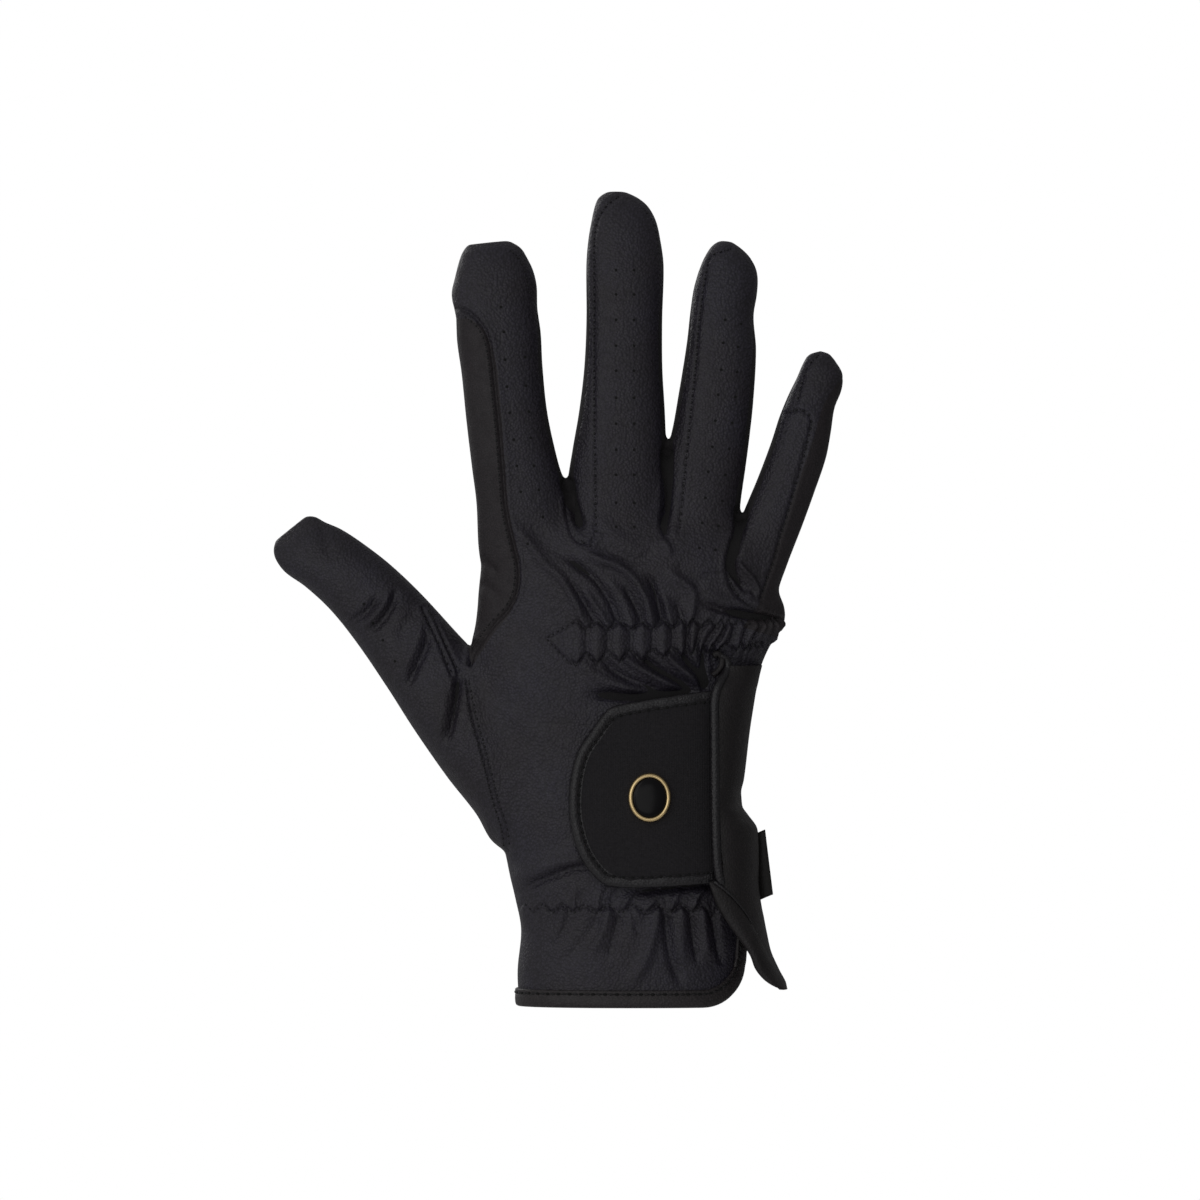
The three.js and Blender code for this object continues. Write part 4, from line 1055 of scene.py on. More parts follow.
def lone_faces_given(quads, labels):
    """Gives a face with no neighbour in its own panel to the panel beside it."""
    _, one, other = shared_edges(quads)
    alike = np.zeros(len(quads), int)
    for faces in (one, other):
        np.add.at(alike, faces, labels[one] == labels[other])
    given = labels.copy()
    for faces, beside in ((one, other), (other, one)):
        lone = alike[faces] == 0
        given[faces[lone]] = labels[beside[lone]]
    return given


def border_edges(quads, labels):
    """The edges along which panels of the skin meet."""
    sides, one, other = shared_edges(quads)
    return sides[labels[one] != labels[other]]


def sewn(points, quads, border, normals):
    """Smooths the stepped lines along which panels meet, and sinks them on the sides and the palm."""
    points = relaxed(points, border, 8, 0.5)
    sunk = np.zeros((len(points), 1))
    sunk[border.ravel()] = 1
    sunk = np.maximum(relaxed(sunk, edges_of(quads), 2, 0.7), 0.6 * sunk)
    behind = smooth((normals[:, 1] + 0.1) / 0.4)
    return points - normals * (SEAM_DEPTH * sunk[:, 0] * behind)[:, None]


def chains(border):
    """Runs of points that follow each other along the borders."""
    following = {}
    for a, b in border.tolist():
        following.setdefault(a, []).append(b)
        following.setdefault(b, []).append(a)
    seen = set()
    runs = []
    for first in sorted(following, key=lambda point: (len(following[point]) != 1, point)):
        if first in seen:
            continue
        run = [first]
        seen.add(first)
        while True:
            ahead = [point for point in following[run[-1]] if point not in seen]
            if not ahead:
                break
            run.append(ahead[0])
            seen.add(ahead[0])
        if len(run) > 8:
            runs.append(run)
    return runs


def compact(points, quads, chosen, normals):
    """The chosen quads with only the points that they use."""
    used, index = np.unique(quads[chosen], return_inverse=True)
    return (points[used], as_faces(index.reshape(-1, 4))), normals[used]


# Materials


def new_material(name):
    material = bpy.data.materials.new(name)
    material.use_nodes = True
    nodes = material.node_tree.nodes
    links = material.node_tree.links
    return material, nodes, links, nodes["Principled BSDF"]


def noise(nodes, links, scale, detail=3.0, roughness=0.5):
    place = nodes.new("ShaderNodeTexCoord")
    texture = nodes.new("ShaderNodeTexNoise")
    texture.inputs["Scale"].default_value = scale
    texture.inputs["Detail"].default_value = detail
    texture.inputs["Roughness"].default_value = roughness
    links.new(place.outputs["Object"], texture.inputs["Vector"])
    return texture


def ramp(nodes, links, value, stops):
    made = nodes.new("ShaderNodeValToRGB")
    elements = made.color_ramp.elements
    while len(elements) < len(stops):
        elements.new(0.5)
    for element, (position, colour) in zip(elements, stops):
        element.position = position
        element.color = (*colour, 1)
    links.new(value, made.inputs["Fac"])
    return made


def bump(nodes, links, height, strength, distance, under=None):
    made = nodes.new("ShaderNodeBump")
    made.inputs["Strength"].default_value = strength
    made.inputs["Distance"].default_value = distance * MM
    links.new(height, made.inputs["Height"])
    if under is not None:
        links.new(under.outputs["Normal"], made.inputs["Normal"])
    return made


def leather(name, dark, light, grain=0.76, roughness=0.5, strength=0.95):
    """Fine-grained leather: pebbles of the given size, their tops lightened and the creases between them
    darkened as painted light and shade, over softer unevenness.
    """
    material, nodes, links, shader = new_material(name)
    mottle = noise(nodes, links, 60, 4)
    colours = ramp(nodes, links, mottle.outputs["Fac"], [(0.3, dark), (0.7, light)])
    place = nodes.new("ShaderNodeTexCoord")
    cells = nodes.new("ShaderNodeTexVoronoi")
    cells.inputs["Scale"].default_value = 1 / (grain * MM)
    cells.inputs["Randomness"].default_value = 1.0
    links.new(place.outputs["Object"], cells.inputs["Vector"])
    # Painted shade in the grain's creases and painted light on the pebbles' tops, taken from the same cells
    # as the bump.
    creases = ramp(nodes, links, cells.outputs["Distance"], [(0.15, (1.15,) * 3), (0.65, (0.52,) * 3)])
    shaded = nodes.new("ShaderNodeVectorMath")
    shaded.operation = "MULTIPLY"
    links.new(colours.outputs["Color"], shaded.inputs[0])
    links.new(creases.outputs["Color"], shaded.inputs[1])
    links.new(shaded.outputs["Vector"], shader.inputs["Base Color"])
    fine = noise(nodes, links, 2600, 4, 0.6)
    coarse = noise(nodes, links, 420, 3)
    first = bump(nodes, links, cells.outputs["Distance"], strength, 0.24)
    first.invert = True
    second = bump(nodes, links, fine.outputs["Fac"], strength * 0.8, 0.06, first)
    third = bump(nodes, links, coarse.outputs["Fac"], strength * 0.6, 0.12, second)
    links.new(third.outputs["Normal"], shader.inputs["Normal"])
    polished = (roughness - 0.06,) * 3
    dull = (roughness + 0.08,) * 3
    shine = ramp(nodes, links, coarse.outputs["Fac"], [(0.3, polished), (0.7, dull)])
    links.new(shine.outputs["Color"], shader.inputs["Roughness"])
    return material


def cloth(name, dark, light, thread=0.32, roughness=0.85, strength=0.5):
    """Closely woven cloth: two crossed sets of fine threads."""
    material, nodes, links, shader = new_material(name)
    mottle = noise(nodes, links, 1500, 4)
    colours = ramp(nodes, links, mottle.outputs["Fac"], [(0.3, dark), (0.7, light)])
    links.new(colours.outputs["Color"], shader.inputs["Base Color"])
    shader.inputs["Roughness"].default_value = roughness
    place = nodes.new("ShaderNodeTexCoord")
    under = None
    for direction in ("X", "Z"):
        threads = nodes.new("ShaderNodeTexWave")
        threads.bands_direction = direction
        threads.inputs["Scale"].default_value = 1 / (thread * MM) / 3.2
        threads.inputs["Distortion"].default_value = 1.5
        threads.inputs["Detail"].default_value = 2
        links.new(place.outputs["Object"], threads.inputs["Vector"])
        under = bump(nodes, links, threads.outputs["Fac"], strength, 0.05, under)
    links.new(under.outputs["Normal"], shader.inputs["Normal"])
    return material


def plain(name, colour, roughness, metallic=0.0, specular=0.5, scratch=0.02):
    """A moulded or metal surface with faint unevenness."""
    material, nodes, links, shader = new_material(name)
    mottle = noise(nodes, links, 300, 3)
    darker = tuple(channel * 0.92 for channel in colour)
    colours = ramp(nodes, links, mottle.outputs["Fac"], [(0.3, darker), (0.7, colour)])
    links.new(colours.outputs["Color"], shader.inputs["Base Color"])
    shader.inputs["Metallic"].default_value = metallic
    shader.inputs["Roughness"].default_value = roughness
    shader.inputs["Specular IOR Level"].default_value = specular
    fine = noise(nodes, links, 1200, 3)
    scratched = bump(nodes, links, fine.outputs["Fac"], scratch, 0.05)
    links.new(scratched.outputs["Normal"], shader.inputs["Normal"])
    return material


LEATHER = leather("leather", (0.024, 0.019, 0.027), (0.029, 0.0255, 0.041))
SIDE_LEATHER = leather("smooth_side", (0.021, 0.0145, 0.0185), (0.025, 0.019, 0.023), 0.5, 0.6, 0.4)
BINDING_LEATHER = leather("binding_leather", (0.015, 0.013, 0.016), (0.020, 0.018, 0.022), 0.6, 0.33, 0.6)
# A darker copy of the glove's leather: painted shade for the flap, its tail and the slit's piping on the side
# turned from the light.
SHADED_FLAP_LEATHER = leather("flap_leather_painted_shade", (0.009, 0.006, 0.007), (0.013, 0.009, 0.011), 0.6, 0.55, 0.6)
STRAP_CLOTH = cloth("strap_cloth", (0.006, 0.005, 0.007), (0.016, 0.014, 0.017), 0.5, 0.85, 0.9)
STRETCH = cloth("stretch_cloth", (0.012, 0.010, 0.012), (0.018, 0.016, 0.018), 0.4)
TAPE = leather("edge_tape", (0.024, 0.018, 0.020), (0.031, 0.025, 0.027), 0.6, 0.5, 0.5)
LINING = cloth("lining_cloth", (0.010, 0.009, 0.010), (0.014, 0.013, 0.014), 0.6, 0.95)
THREAD = plain("thread", (0.006, 0.005, 0.007), 0.6)
# Near black: painted shade standing for the insides of needle holes and perforations.
HOLE_SHADE = plain("hole", (0.002, 0.002, 0.002), 0.9)
GOLD = plain("gold", (0.93, 0.70, 0.36), 0.28, 1.0)
ENAMEL = plain("enamel", (0.004, 0.0035, 0.0045), 0.2, 0.0, 0.18, 0.0)
RIBBON = cloth("ribbon", (0.010, 0.009, 0.008), (0.015, 0.013, 0.012), 0.3, 0.6)
PAD = cloth("hook_and_loop", (0.008, 0.008, 0.008), (0.013, 0.013, 0.013), 0.9, 0.9, 1.0)

PANEL_FINISH = {
    "back_panel": (LEATHER, "leather"),
    "palm_panel": (LEATHER, "leather"),
    "thumb_piece": (LEATHER, "leather"),
    "index_side_panel": (SIDE_LEATHER, "smooth_cloth"),
    "little_side_panel": (SIDE_LEATHER, "smooth_cloth"),
    "little_rein_patch": (LEATHER, "leather"),
    "little_tip_cap": (LEATHER, "leather"),
}


def add_panels(points, quads, normals, hanging):
    labels = panel_of_faces(points, quads)
    points = sewn(points, quads, border_edges(quads, labels), normals)
    points = closed_up(points, hanging)
    for number, name in enumerate(PANELS[:-1]):
        chosen = labels == number
        if chosen.any():
            shape, own_normals = compact(points, quads, chosen, normals)
            material, slot = PANEL_FINISH.get(name, (STRETCH, "stretch_cloth"))
            piece(name + "_skin", shape, material, [name], own_normals)
    kept = labels != PANELS.index("cut_away")
    return points, border_edges(quads[kept], labels[kept])


def add_palm_stitches(points, border, normals):
    """Fine stitches beside the seams that the front doesn't show."""
    threads = []
    for run in chains(border):
        links = np.column_stack([np.arange(len(run) - 1), np.arange(1, len(run))])
        line = relaxed(points[run], links, 6)
        lengths = travelled(line)
        table = np.column_stack([line, normals[run]])
        for wanted in np.arange(1, lengths[-1] - 1, PALM_STITCH):
            start, end = at_lengths(table, lengths, wanted + np.array([0, 0.8]))
            normal = start[3:] / max(np.linalg.norm(start[3:]), 1e-6)
            along = end[:3] - start[:3]
            along -= normal * along.dot(normal)
            size = np.linalg.norm(along)
            if normal[1] < 0.15 or size < 0.1 or start[2] < 8:
                continue
            along /= size
            side = np.cross(along, normal)
            threads.append(capsule(start[:3] + side * 1.1 - normal * 0.12, along, normal, 1.25, 0.2))
    piece("palm_stitches", joined(threads), THREAD)


def add_lining():
    shapes = [hand_loft(-WALL, 2.0, 90, -3.0)] + [finger_loft(finger, WALL, 50, 32) for finger in FINGERS]
    points, quads = remeshed(joined(shapes), LINING_VOXEL)
    points = relaxed(points, edges_of(quads), 3)
    x, y, z = points[quads].mean(axis=1).T
    kept = ~beyond_hem(x, y, z, HEM_THICKNESS + GAP)
    normals = -vertex_normals(points, quads)
    shape, own_normals = compact(points, quads[:, ::-1], kept, normals)
    piece("lining", shape, LINING, (), own_normals)


# Where a point of the photograph lies on the finished skin


class Surface:
    """The skin as it faces the camera."""

    def __init__(self, points, quads):
        self.tree = BVHTree.FromPolygons(points.tolist(), quads.tolist())

    def under(self, x, z):
        """The point and normal of the skin behind a place of the X-Z plane, or None past its outline."""
        place, normal, _, _ = self.tree.ray_cast(Vector((x, -100, z)), Vector((0, 1, 0)))
        return (None, None) if place is None else (np.array(place), np.array(normal))


def spaced(line, pitch):
    """Points at an even pitch along a curve through points, and points a little further on."""
    line = curve(line, 12)
    lengths = travelled(line)
    count = max(2, int(lengths[-1] / pitch))
    wanted = (np.arange(count) + 0.5) * lengths[-1] / count
    return at_lengths(line, lengths, wanted), at_lengths(line, lengths, wanted + 0.1)


def ring_of(centre, size, one, other, sides):
    """Points of a circle round a centre, in the plane of two directions."""
    angles = np.arange(sides) * 2 * np.pi / sides
    return [centre + size * (math.cos(a) * one + math.sin(a) * other) for a in angles]


def capsule(centre, along, normal, length, radius, sides=6):
    """A thread's visible stretch, humped between the two holes that it dives into."""
    across = np.cross(along, normal)
    rings = []
    for t in (-1, -0.75, -0.3, 0.3, 0.75, 1):
        hump = radius * (0.9 - 1.7 * t * t)
        size = radius * (1 - 0.75 * abs(t) ** 4)
        middle = centre + along * (t * length / 2) + normal * hump
        rings.append(ring_of(middle, size, across, normal, sides))
    return loft(rings)


def dot(centre, normal, radius, depth=0.12, sides=10):
    """A small round hole, drawn as a shallow cup whose near-black colour is painted shade for the hole's
    inside.
    """
    along = np.cross(normal, [0.3, 0.2, 0.9])
    along /= np.linalg.norm(along)
    across = np.cross(normal, along)
    rings = []
    for size, lift in ((radius, -0.25), (radius, depth), (radius * 0.6, depth * 0.7)):
        rings.append(ring_of(centre + normal * lift, size, across, along, sides))
    return loft(rings)


def stitch_row(surface, line, pitch=2.0, length=1.05, radius=0.28, sunk=0.1):
    """Threads, and needle holes drawn as dark cups of painted shade, along a line of the X-Z plane."""
    threads = []
    holes = []
    places, ahead = spaced(line, pitch)
    for (x, z), (ax, az) in zip(places, ahead):
        centre, normal = surface.under(x, z)
        further, _ = surface.under(ax, az)
        if centre is None or further is None or normal[1] > -0.12:
            continue
        along = further - centre
        size = np.linalg.norm(along)
        if size < 1e-6 or size > 0.6:
            continue
        along /= size
        normal = normal - along * normal.dot(along)
        normal /= np.linalg.norm(normal)
        threads.append(capsule(centre - normal * sunk, along, normal, length, radius))
        holes.append(dot(centre - along * (pitch / 2), normal, radius * 0.6, 0.06, 6))
    return threads, holes


STITCH_LINES = {
    "index_topstitch": [
        (463, 315), (477, 327), (484, 340), (488, 358), (492, 396), (496, 434), (499, 472), (502, 510),
        (510, 546), (515, 569), (513, 591), (505, 607), (490, 623), (471, 650),
    ],
    "middle_left": SEAMS["middle_left"][2],
    "ring_left": SEAMS["ring_left"][2],
    "little_head": SEAMS["little_head"][2],
    "patch": SEAMS["patch"][2],
    "middle_right": [(645, 209), (654, 223), (658, 240), (659, 256)],
    "index_tip": [(510, 250), (517, 256), (524, 268), (527, 281), (530, 296)],
    "thumb_first": [(469, 680), (476, 713), (487, 753), (500, 804), (507, 825), (510, 846)],
    "thumb_second": [(465, 680), (470, 713), (481, 753), (494, 804), (501, 826), (504, 848)],
    "thumb_top_first": [(428, 610), (444, 641), (457, 670)],
    "thumb_top_second": [(422, 612), (438, 643), (451, 674)],
    "little_left": [(729, 566), (730, 582), (743, 601), (756, 611)],
    "middle_base": [(581, 540), (588, 546), (594, 545)],
}
PERFORATIONS = [
    # Index finger
    (501, 307), (504, 332), (505, 360), (507, 387), (510, 413), (514, 440), (517, 466), (521, 492),
    (528, 544), (525, 357), (526, 386), (529, 412), (531, 438), (534, 466), (539, 490), (543, 517),
    # Thumb
    (364, 604), (373, 623), (383, 640), (395, 661),
    # Ring finger
    (725, 320), (741, 324), (723, 343), (738, 347), (721, 370), (737, 372), (718, 395), (735, 397),
    (715, 421), (732, 423), (712, 447), (729, 449), (708, 472), (725, 475), (705, 498), (722, 501),
    (702, 523), (718, 526), (699, 548), (715, 550),
]
# Middle finger
PERFORATIONS += [
    (x, y)
    for y in (270, 294.5, 320, 346, 371, 398, 424, 450, 475, 503, 527)
    for x in (616, 634)
]


def add_stitches(surface):
    threads = []
    holes = []
    for line in STITCH_LINES.values():
        made = stitch_row(surface, pixels(*line))
        threads += made[0]
        holes += made[1]
    # Perforations as dark cups of painted shade.
    for x, z in pixels(*PERFORATIONS):
        centre, normal = surface.under(x, z)
        if centre is not None:
            holes.append(dot(centre, normal, PERFORATION_RADIUS, 0.05))
    piece("seam_stitches", joined(threads), THREAD)
    piece("needle_hole_shade", joined(holes), HOLE_SHADE)


def add_zigzags(surface):
    """The zigzag stitching that holds the elastic under the gathers."""
    fine = np.arange(577, 786, 1.0)
    high, low = ruche_lines(fine)
    cuff_x = np.arange(524, 731, 1.0)
    lines = [
        [(546, 638), *zip(fine, high)],
        [(546, 638), (573, 665), *zip(fine, low)],
        list(zip(cuff_x, cuff_line(cuff_x))),
    ]
    threads = []
    for line in lines:
        made, _ = stitch_row(surface, pixels(*line), 1.6, 1.05, 0.2)
        threads += made
    piece("zigzag_stitches", joined(threads), THREAD)


# The hem's edge tape, laid out along the cuff's mouth


def cuff_point(angles, z):
    """Points and normals of the cuff's skin at angles round its section and at heights."""
    across, deep = section(angles)
    left, right, back, palm = hand_sizes(np.clip(z, 0, HAND_LENGTH))
    half = (left + right) / 2
    depth = np.where(deep > 0, back, palm)
    points = np.column_stack([(right - left) / 2 + half * across, -depth * deep, z])
    nx = np.sign(across) * np.abs(across) ** (BOXINESS - 1) / half
    ny = -np.sign(deep) * np.abs(deep) ** (BOXINESS - 1) / depth
    normals = np.column_stack([nx, ny, np.zeros(len(z))])
    return points, normals / np.linalg.norm(normals, axis=1)[:, None]


class CuffSurface:
    """The cuff unrolled: a distance round its section and a height, to a point and its normal."""

    def __init__(self):
        steps = 2881
        self.angles = np.linspace(0, 2 * np.pi, steps)
        x, y, _ = cuff_point(self.angles, np.zeros(steps))[0].T
        self.round = np.concatenate([[0], np.cumsum(np.hypot(np.diff(x), np.diff(y)))])

    def at(self, along, z):
        return cuff_point(np.interp(along, self.round, self.angles), z)

    def of_x(self, x, front):
        """The distance round the section at which the hem's front or palm side has an X."""
        left, right, _, _ = hand_sizes(np.zeros(1))
        share = (x - (right[0] - left[0]) / 2) / ((left[0] + right[0]) / 2)
        angle = np.arccos(np.abs(share) ** (BOXINESS / 2))
        return np.interp(angle if front else 2 * np.pi - angle, self.angles, self.round)


# Across the tape: distance in from the hem's edge, and height above the skin.
HEM_PROFILE = [
    (5.0, 0.1), (5.05, 0.55), (4.8, 0.85), (4.4, 0.9), (3.9, 0.68), (3.4, 0.95), (2.2, 1.1), (1.0, 1.1),
    (0.3, 0.95), (-0.05, 0.4), (-0.1, -0.6), (0.0, -1.6), (0.4, -2.2), (1.4, -2.35), (4.4, -2.35),
    (4.8, -2.1), (4.8, -1.55),
]
HEM_SEAM = 3.9


def hem_path(cuff):
    """The hem's outer edge as distances round the cuff and heights, from the front's corner to the palm's."""
    turn = np.linspace(0, np.pi / 2, 14)
    corner_x = CORNER_RIGHT - CUFF_CORNER

    def corner(angle, front):
        x = corner_x + CUFF_CORNER * math.cos(angle)
        return cuff.of_x(x, front), CUFF_CORNER - CUFF_CORNER * math.sin(angle)

    path = [(cuff.of_x(CORNER_RIGHT - 0.05 + 0.02 * k, True), 25 - k) for k in range(0, 13)]
    path += [corner(angle, True) for angle in turn]
    low = path[-1][0]
    high = cuff.of_x(corner_x, False)
    path += [(s, 0.0) for s in np.linspace(low, high, 170)[1:-1]]
    path += [corner(angle, False) for angle in turn[::-1]]
    path += [(cuff.of_x(CORNER_RIGHT, False), 12.5 + k) for k in range(0, 13)]
    return evened(np.array(path, float), 420)


def add_hem():
    cuff = CuffSurface()
    path = hem_path(cuff)
    inward = inward_of(path)
    rows = []
    for distance, lift in HEM_PROFILE:
        points, normals = cuff.at(*(path + inward * distance).T)
        rows.append(points + normals * lift)
    piece("hem_tape", loft(np.stack(rows, axis=1)), TAPE, ["hem_binding"])
    add_hem_stitches(cuff, path + inward * HEM_SEAM)


def add_hem_stitches(cuff, line):
    """Threads of the hem's seam by turns with the gaps between them, which are dark capsules of painted
    shade.
    """
    stitches = []
    gaps = []
    lengths = travelled(line)
    for number, wanted in enumerate(np.arange(1, lengths[-1] - 1, HEM_STITCH / 2)):
        (start, end), (normal, _) = cuff.at(*at_lengths(line, lengths, wanted + np.array([0, 0.2])).T)
        along = end - start
        along /= np.linalg.norm(along)
        if number % 2:
            gaps.append(capsule(start + normal * 0.5, along, normal, 1.9, 0.4))
        else:
            stitches.append(capsule(start + normal * 0.7, along, normal, 2.0, 0.26))
    piece("hem_stitches", joined(stitches), THREAD)
    piece("hem_needle_hole_shade", joined(gaps), HOLE_SHADE)


# The wrist strap, its rolled binding and its badge


def strap_line():
    points = np.array(STRAP_OUTLINE) * [STRAP_LENGTH, STRAP_HEIGHT] + [STRAP_LEFT, STRAP_LOW]
    line = curve(points, 14)
    return evened(line[line[:, 0] < STRAP_RIGHT + STRAP_UNDER_FLAP + 0.2], 320)


# Across the binding: distance in from the strap's edge, and height above the skin.
BINDING_PROFILE = [
    (0.9, 1.25), (0.25, 1.5), (-0.05, 2.1), (0.0, 2.9), (0.35, 3.65), (0.95, 4.15), (1.6, 4.25), (2.2, 4.05),
    (2.7, 3.6), (3.05, 3.35), (3.35, 3.5), (3.75, 3.6), (4.0, 3.3), (4.0, 2.6), (3.0, 1.4), (1.8, 1.2),
]
STRAP_SEAM = 3.05


def add_strap_binding(line, inward):
    """The rolled edge. It is high round the strap's left end and flatter along its sides."""
    rows = []
    turn = np.linspace(0, 1, len(line))
    wobble = 0.12 * np.sin(turn * 2 * np.pi * 13) * np.sin(turn * 31)
    for distance, lift in BINDING_PROFILE:
        places = line + inward * distance
        rolled = 0.25 + 0.75 * smooth((STRAP_LEFT + 15 - places[:, 0]) / 7)
        height = min(lift, BINDING_FLAT) + max(0, lift - BINDING_FLAT) * rolled
        if lift > 3 and 0 <= distance < 2.8:
            height = height + wobble
        rows.append(with_depth(places, above_skin(places[:, 0], places[:, 1], 0) - height))
    shape = loft(np.stack(rows, axis=1))
    piece("strap_binding_roll", shape, BINDING_LEATHER, ["strap_binding"])


def add_strap_cloth(line, inward):
    """The strap's cloth as two sheets, one for each of its faces."""
    right = STRAP_RIGHT + 10
    edge = line + inward * 2.2
    outline = np.vstack([edge, [[right, edge[-1, 1]], [right, edge[0, 1]]]])
    grid_x, grid_z = np.meshgrid(
        np.arange(STRAP_LEFT, STRAP_RIGHT + STRAP_UNDER_FLAP, 0.6), np.arange(STRAP_LOW, STRAP_HIGH + 1, 0.6)
    )
    x = grid_x.ravel()
    z = grid_z.ravel()
    top = np.column_stack([x, above_skin(x, z, 0) - STRAP_TOP + 0.05, z])
    quads = grid_quads(*grid_x.shape, False)
    middle = top[quads].mean(axis=1)
    used, index = np.unique(quads[inside(outline, middle[:, 0], middle[:, 2])], return_inverse=True)
    faces = as_faces(index.reshape(-1, 4))
    lower = top[used] + [0, STRAP_THICKNESS - 0.3, 0]
    shape = joined([(top[used], faces), turned((lower, faces))])
    piece("strap_cloth_face", shape, STRAP_CLOTH, ["wrist_strap"])


def add_strap_stitches(line):
    """Threads of the strap's seam by turns with the holes between them, drawn as dark capsules of painted
    shade.
    """
    stitches = []
    holes = []
    places, ahead = spaced(line, STRAP_STITCH / 2)
    starts, ends = (with_depth(p, above_skin(p[:, 0], p[:, 1], 0) - 3.4) for p in (places, ahead))
    for number, (start, end) in enumerate(zip(starts, ends)):
        along = (end - start) / np.linalg.norm(end - start)
        normal = np.array([0, -1.0, 0])
        normal -= along * normal.dot(along)
        normal /= np.linalg.norm(normal)
        if number % 2:
            holes.append(capsule(start - normal * 0.1, along, normal, 1.3, 0.36))
        else:
            stitches.append(capsule(start, along, normal, 1.7, 0.2))
    piece("strap_stitches", joined(stitches), THREAD)
    piece("strap_needle_hole_shade", joined(holes), HOLE_SHADE)


def add_strap():
    line = strap_line()
    inward = inward_of(line)
    add_strap_binding(line, inward)
    add_strap_cloth(line, inward)
    add_strap_stitches((line + inward * STRAP_SEAM)[4:-4])


# The badge. Its rim: distance in from the edge, and height above the strap.
RIM_PROFILE = [
    (0.15, -0.3), (0.0, 0.5), (0.1, 1.1), (0.4, 1.6), (0.8, 1.75), (1.15, 1.6), (1.38, 1.2), (1.45, 0.7),
]
# Its domed face: the rings' shares of the face's size.
FACE_RINGS = [1.0, 0.97, 0.9, 0.8, 0.66, 0.5, 0.32, 0.15]
FACE_INSET = 1.35


def badge_ring(half_x, half_z, lift, count=72):
    """An oval round the badge's middle, tilted as the strap lies there."""
    base = float(above_skin(BADGE_X, BADGE_Z, 0)[0]) - STRAP_TOP
    slope = float((above_skin(BADGE_X + 4, BADGE_Z, 0) - above_skin(BADGE_X - 4, BADGE_Z, 0))[0]) / 8
    rise = float((above_skin(BADGE_X, BADGE_Z + 4, 0) - above_skin(BADGE_X, BADGE_Z - 4, 0))[0]) / 8
    angle = np.arange(count) * 2 * np.pi / count
    x = BADGE_X + half_x * np.cos(angle)
    z = BADGE_Z + half_z * np.sin(angle)
    y = base + slope * (x - BADGE_X) + rise * (z - BADGE_Z) - lift
    return np.column_stack([x, y, z])


def add_badge_rim():
    rings = [
        badge_ring(BADGE_WIDTH / 2 - inset, BADGE_HEIGHT / 2 - inset, lift)
        for inset, lift in RIM_PROFILE
    ]
    piece("badge_gold_rim", turned(loft(rings, closed=False)), GOLD, ["badge_rim"])


def add_badge_face():
    rings = []
    for share in FACE_RINGS:
        half_x = (BADGE_WIDTH / 2 - FACE_INSET) * share
        half_z = (BADGE_HEIGHT / 2 - FACE_INSET) * share
        rings.append(badge_ring(half_x, half_z, 1.15 + 0.85 * math.sqrt(max(0.0, 1 - share**2.2))))
    piece("badge_domed_face", turned(loft(rings)), ENAMEL, ["badge_face"])


# The side flap, the slit's piping and the tag


def flap_edge_x(z):
    return read(FLAP, z / HAND_LENGTH)[:, 0] * HAND_WIDTH


def flap_lift(z):
    """Height of the flap's edge above the skin: it passes over the strap and comes down above it."""
    down = smooth((z - STRAP_HIGH) / 7)
    over_strap = STRAP_TOP + BINDING_PROUD + 2 * GAP + FLAP_BEAD
    return over_strap * (1 - down) + (GAP + FLAP_BEAD) * down


def flap_edge_y(z):
    x = np.minimum(flap_edge_x(z), 0.265 * HAND_WIDTH)
    return above_skin(x, np.maximum(z, SLIT_FOOT), flap_lift(z))


def skin_right(y, z):
    left, right, back, palm = hand_sizes(z)
    depth = np.where(y < 0, back, palm)
    return (right - left) / 2 + (left + right) / 2 * rounded(y / depth)


def flap_x(z, y):
    far = read(FLAP, z / HAND_LENGTH)[:, 1] * HAND_WIDTH
    edge = flap_edge_x(z)
    ahead = edge + (far - edge) * rounded(y / flap_edge_y(z))
    share = np.minimum(1, np.maximum(y, 0) / FLAP_WRAP)
    behind = skin_right(y, z) + (far - skin_right(np.zeros(len(z)), z)) * (1 - share * share)
    return np.where(y < 0, ahead, behind)


def cord(points, radii, sides=16):
    """A round cord through points with a radius at each."""
    points = np.asarray(points, float)
    run = np.gradient(points, axis=0)
    run /= np.linalg.norm(run, axis=1)[:, None]
    side = np.cross(run, [0.0, 1.0, 0.0])
    side /= np.linalg.norm(side, axis=1)[:, None]
    up = np.cross(side, run)
    return loft([ring_of(p, radius, s, u, sides) for p, s, u, radius in zip(points, side, up, radii)])


# The rolled edge of the flap, from under the strap's foot up to its small loop over the slit.
BEAD = pixels(
    (722, 886), (718.5, 874), (716.5, 860), (715.2, 830), (714.5, 800), (714.3, 760), (714, 720),
    (714, 702), (716, 690), (720, 681), (725, 673), (727.5, 665), (725.5, 658), (720, 655.5),
)


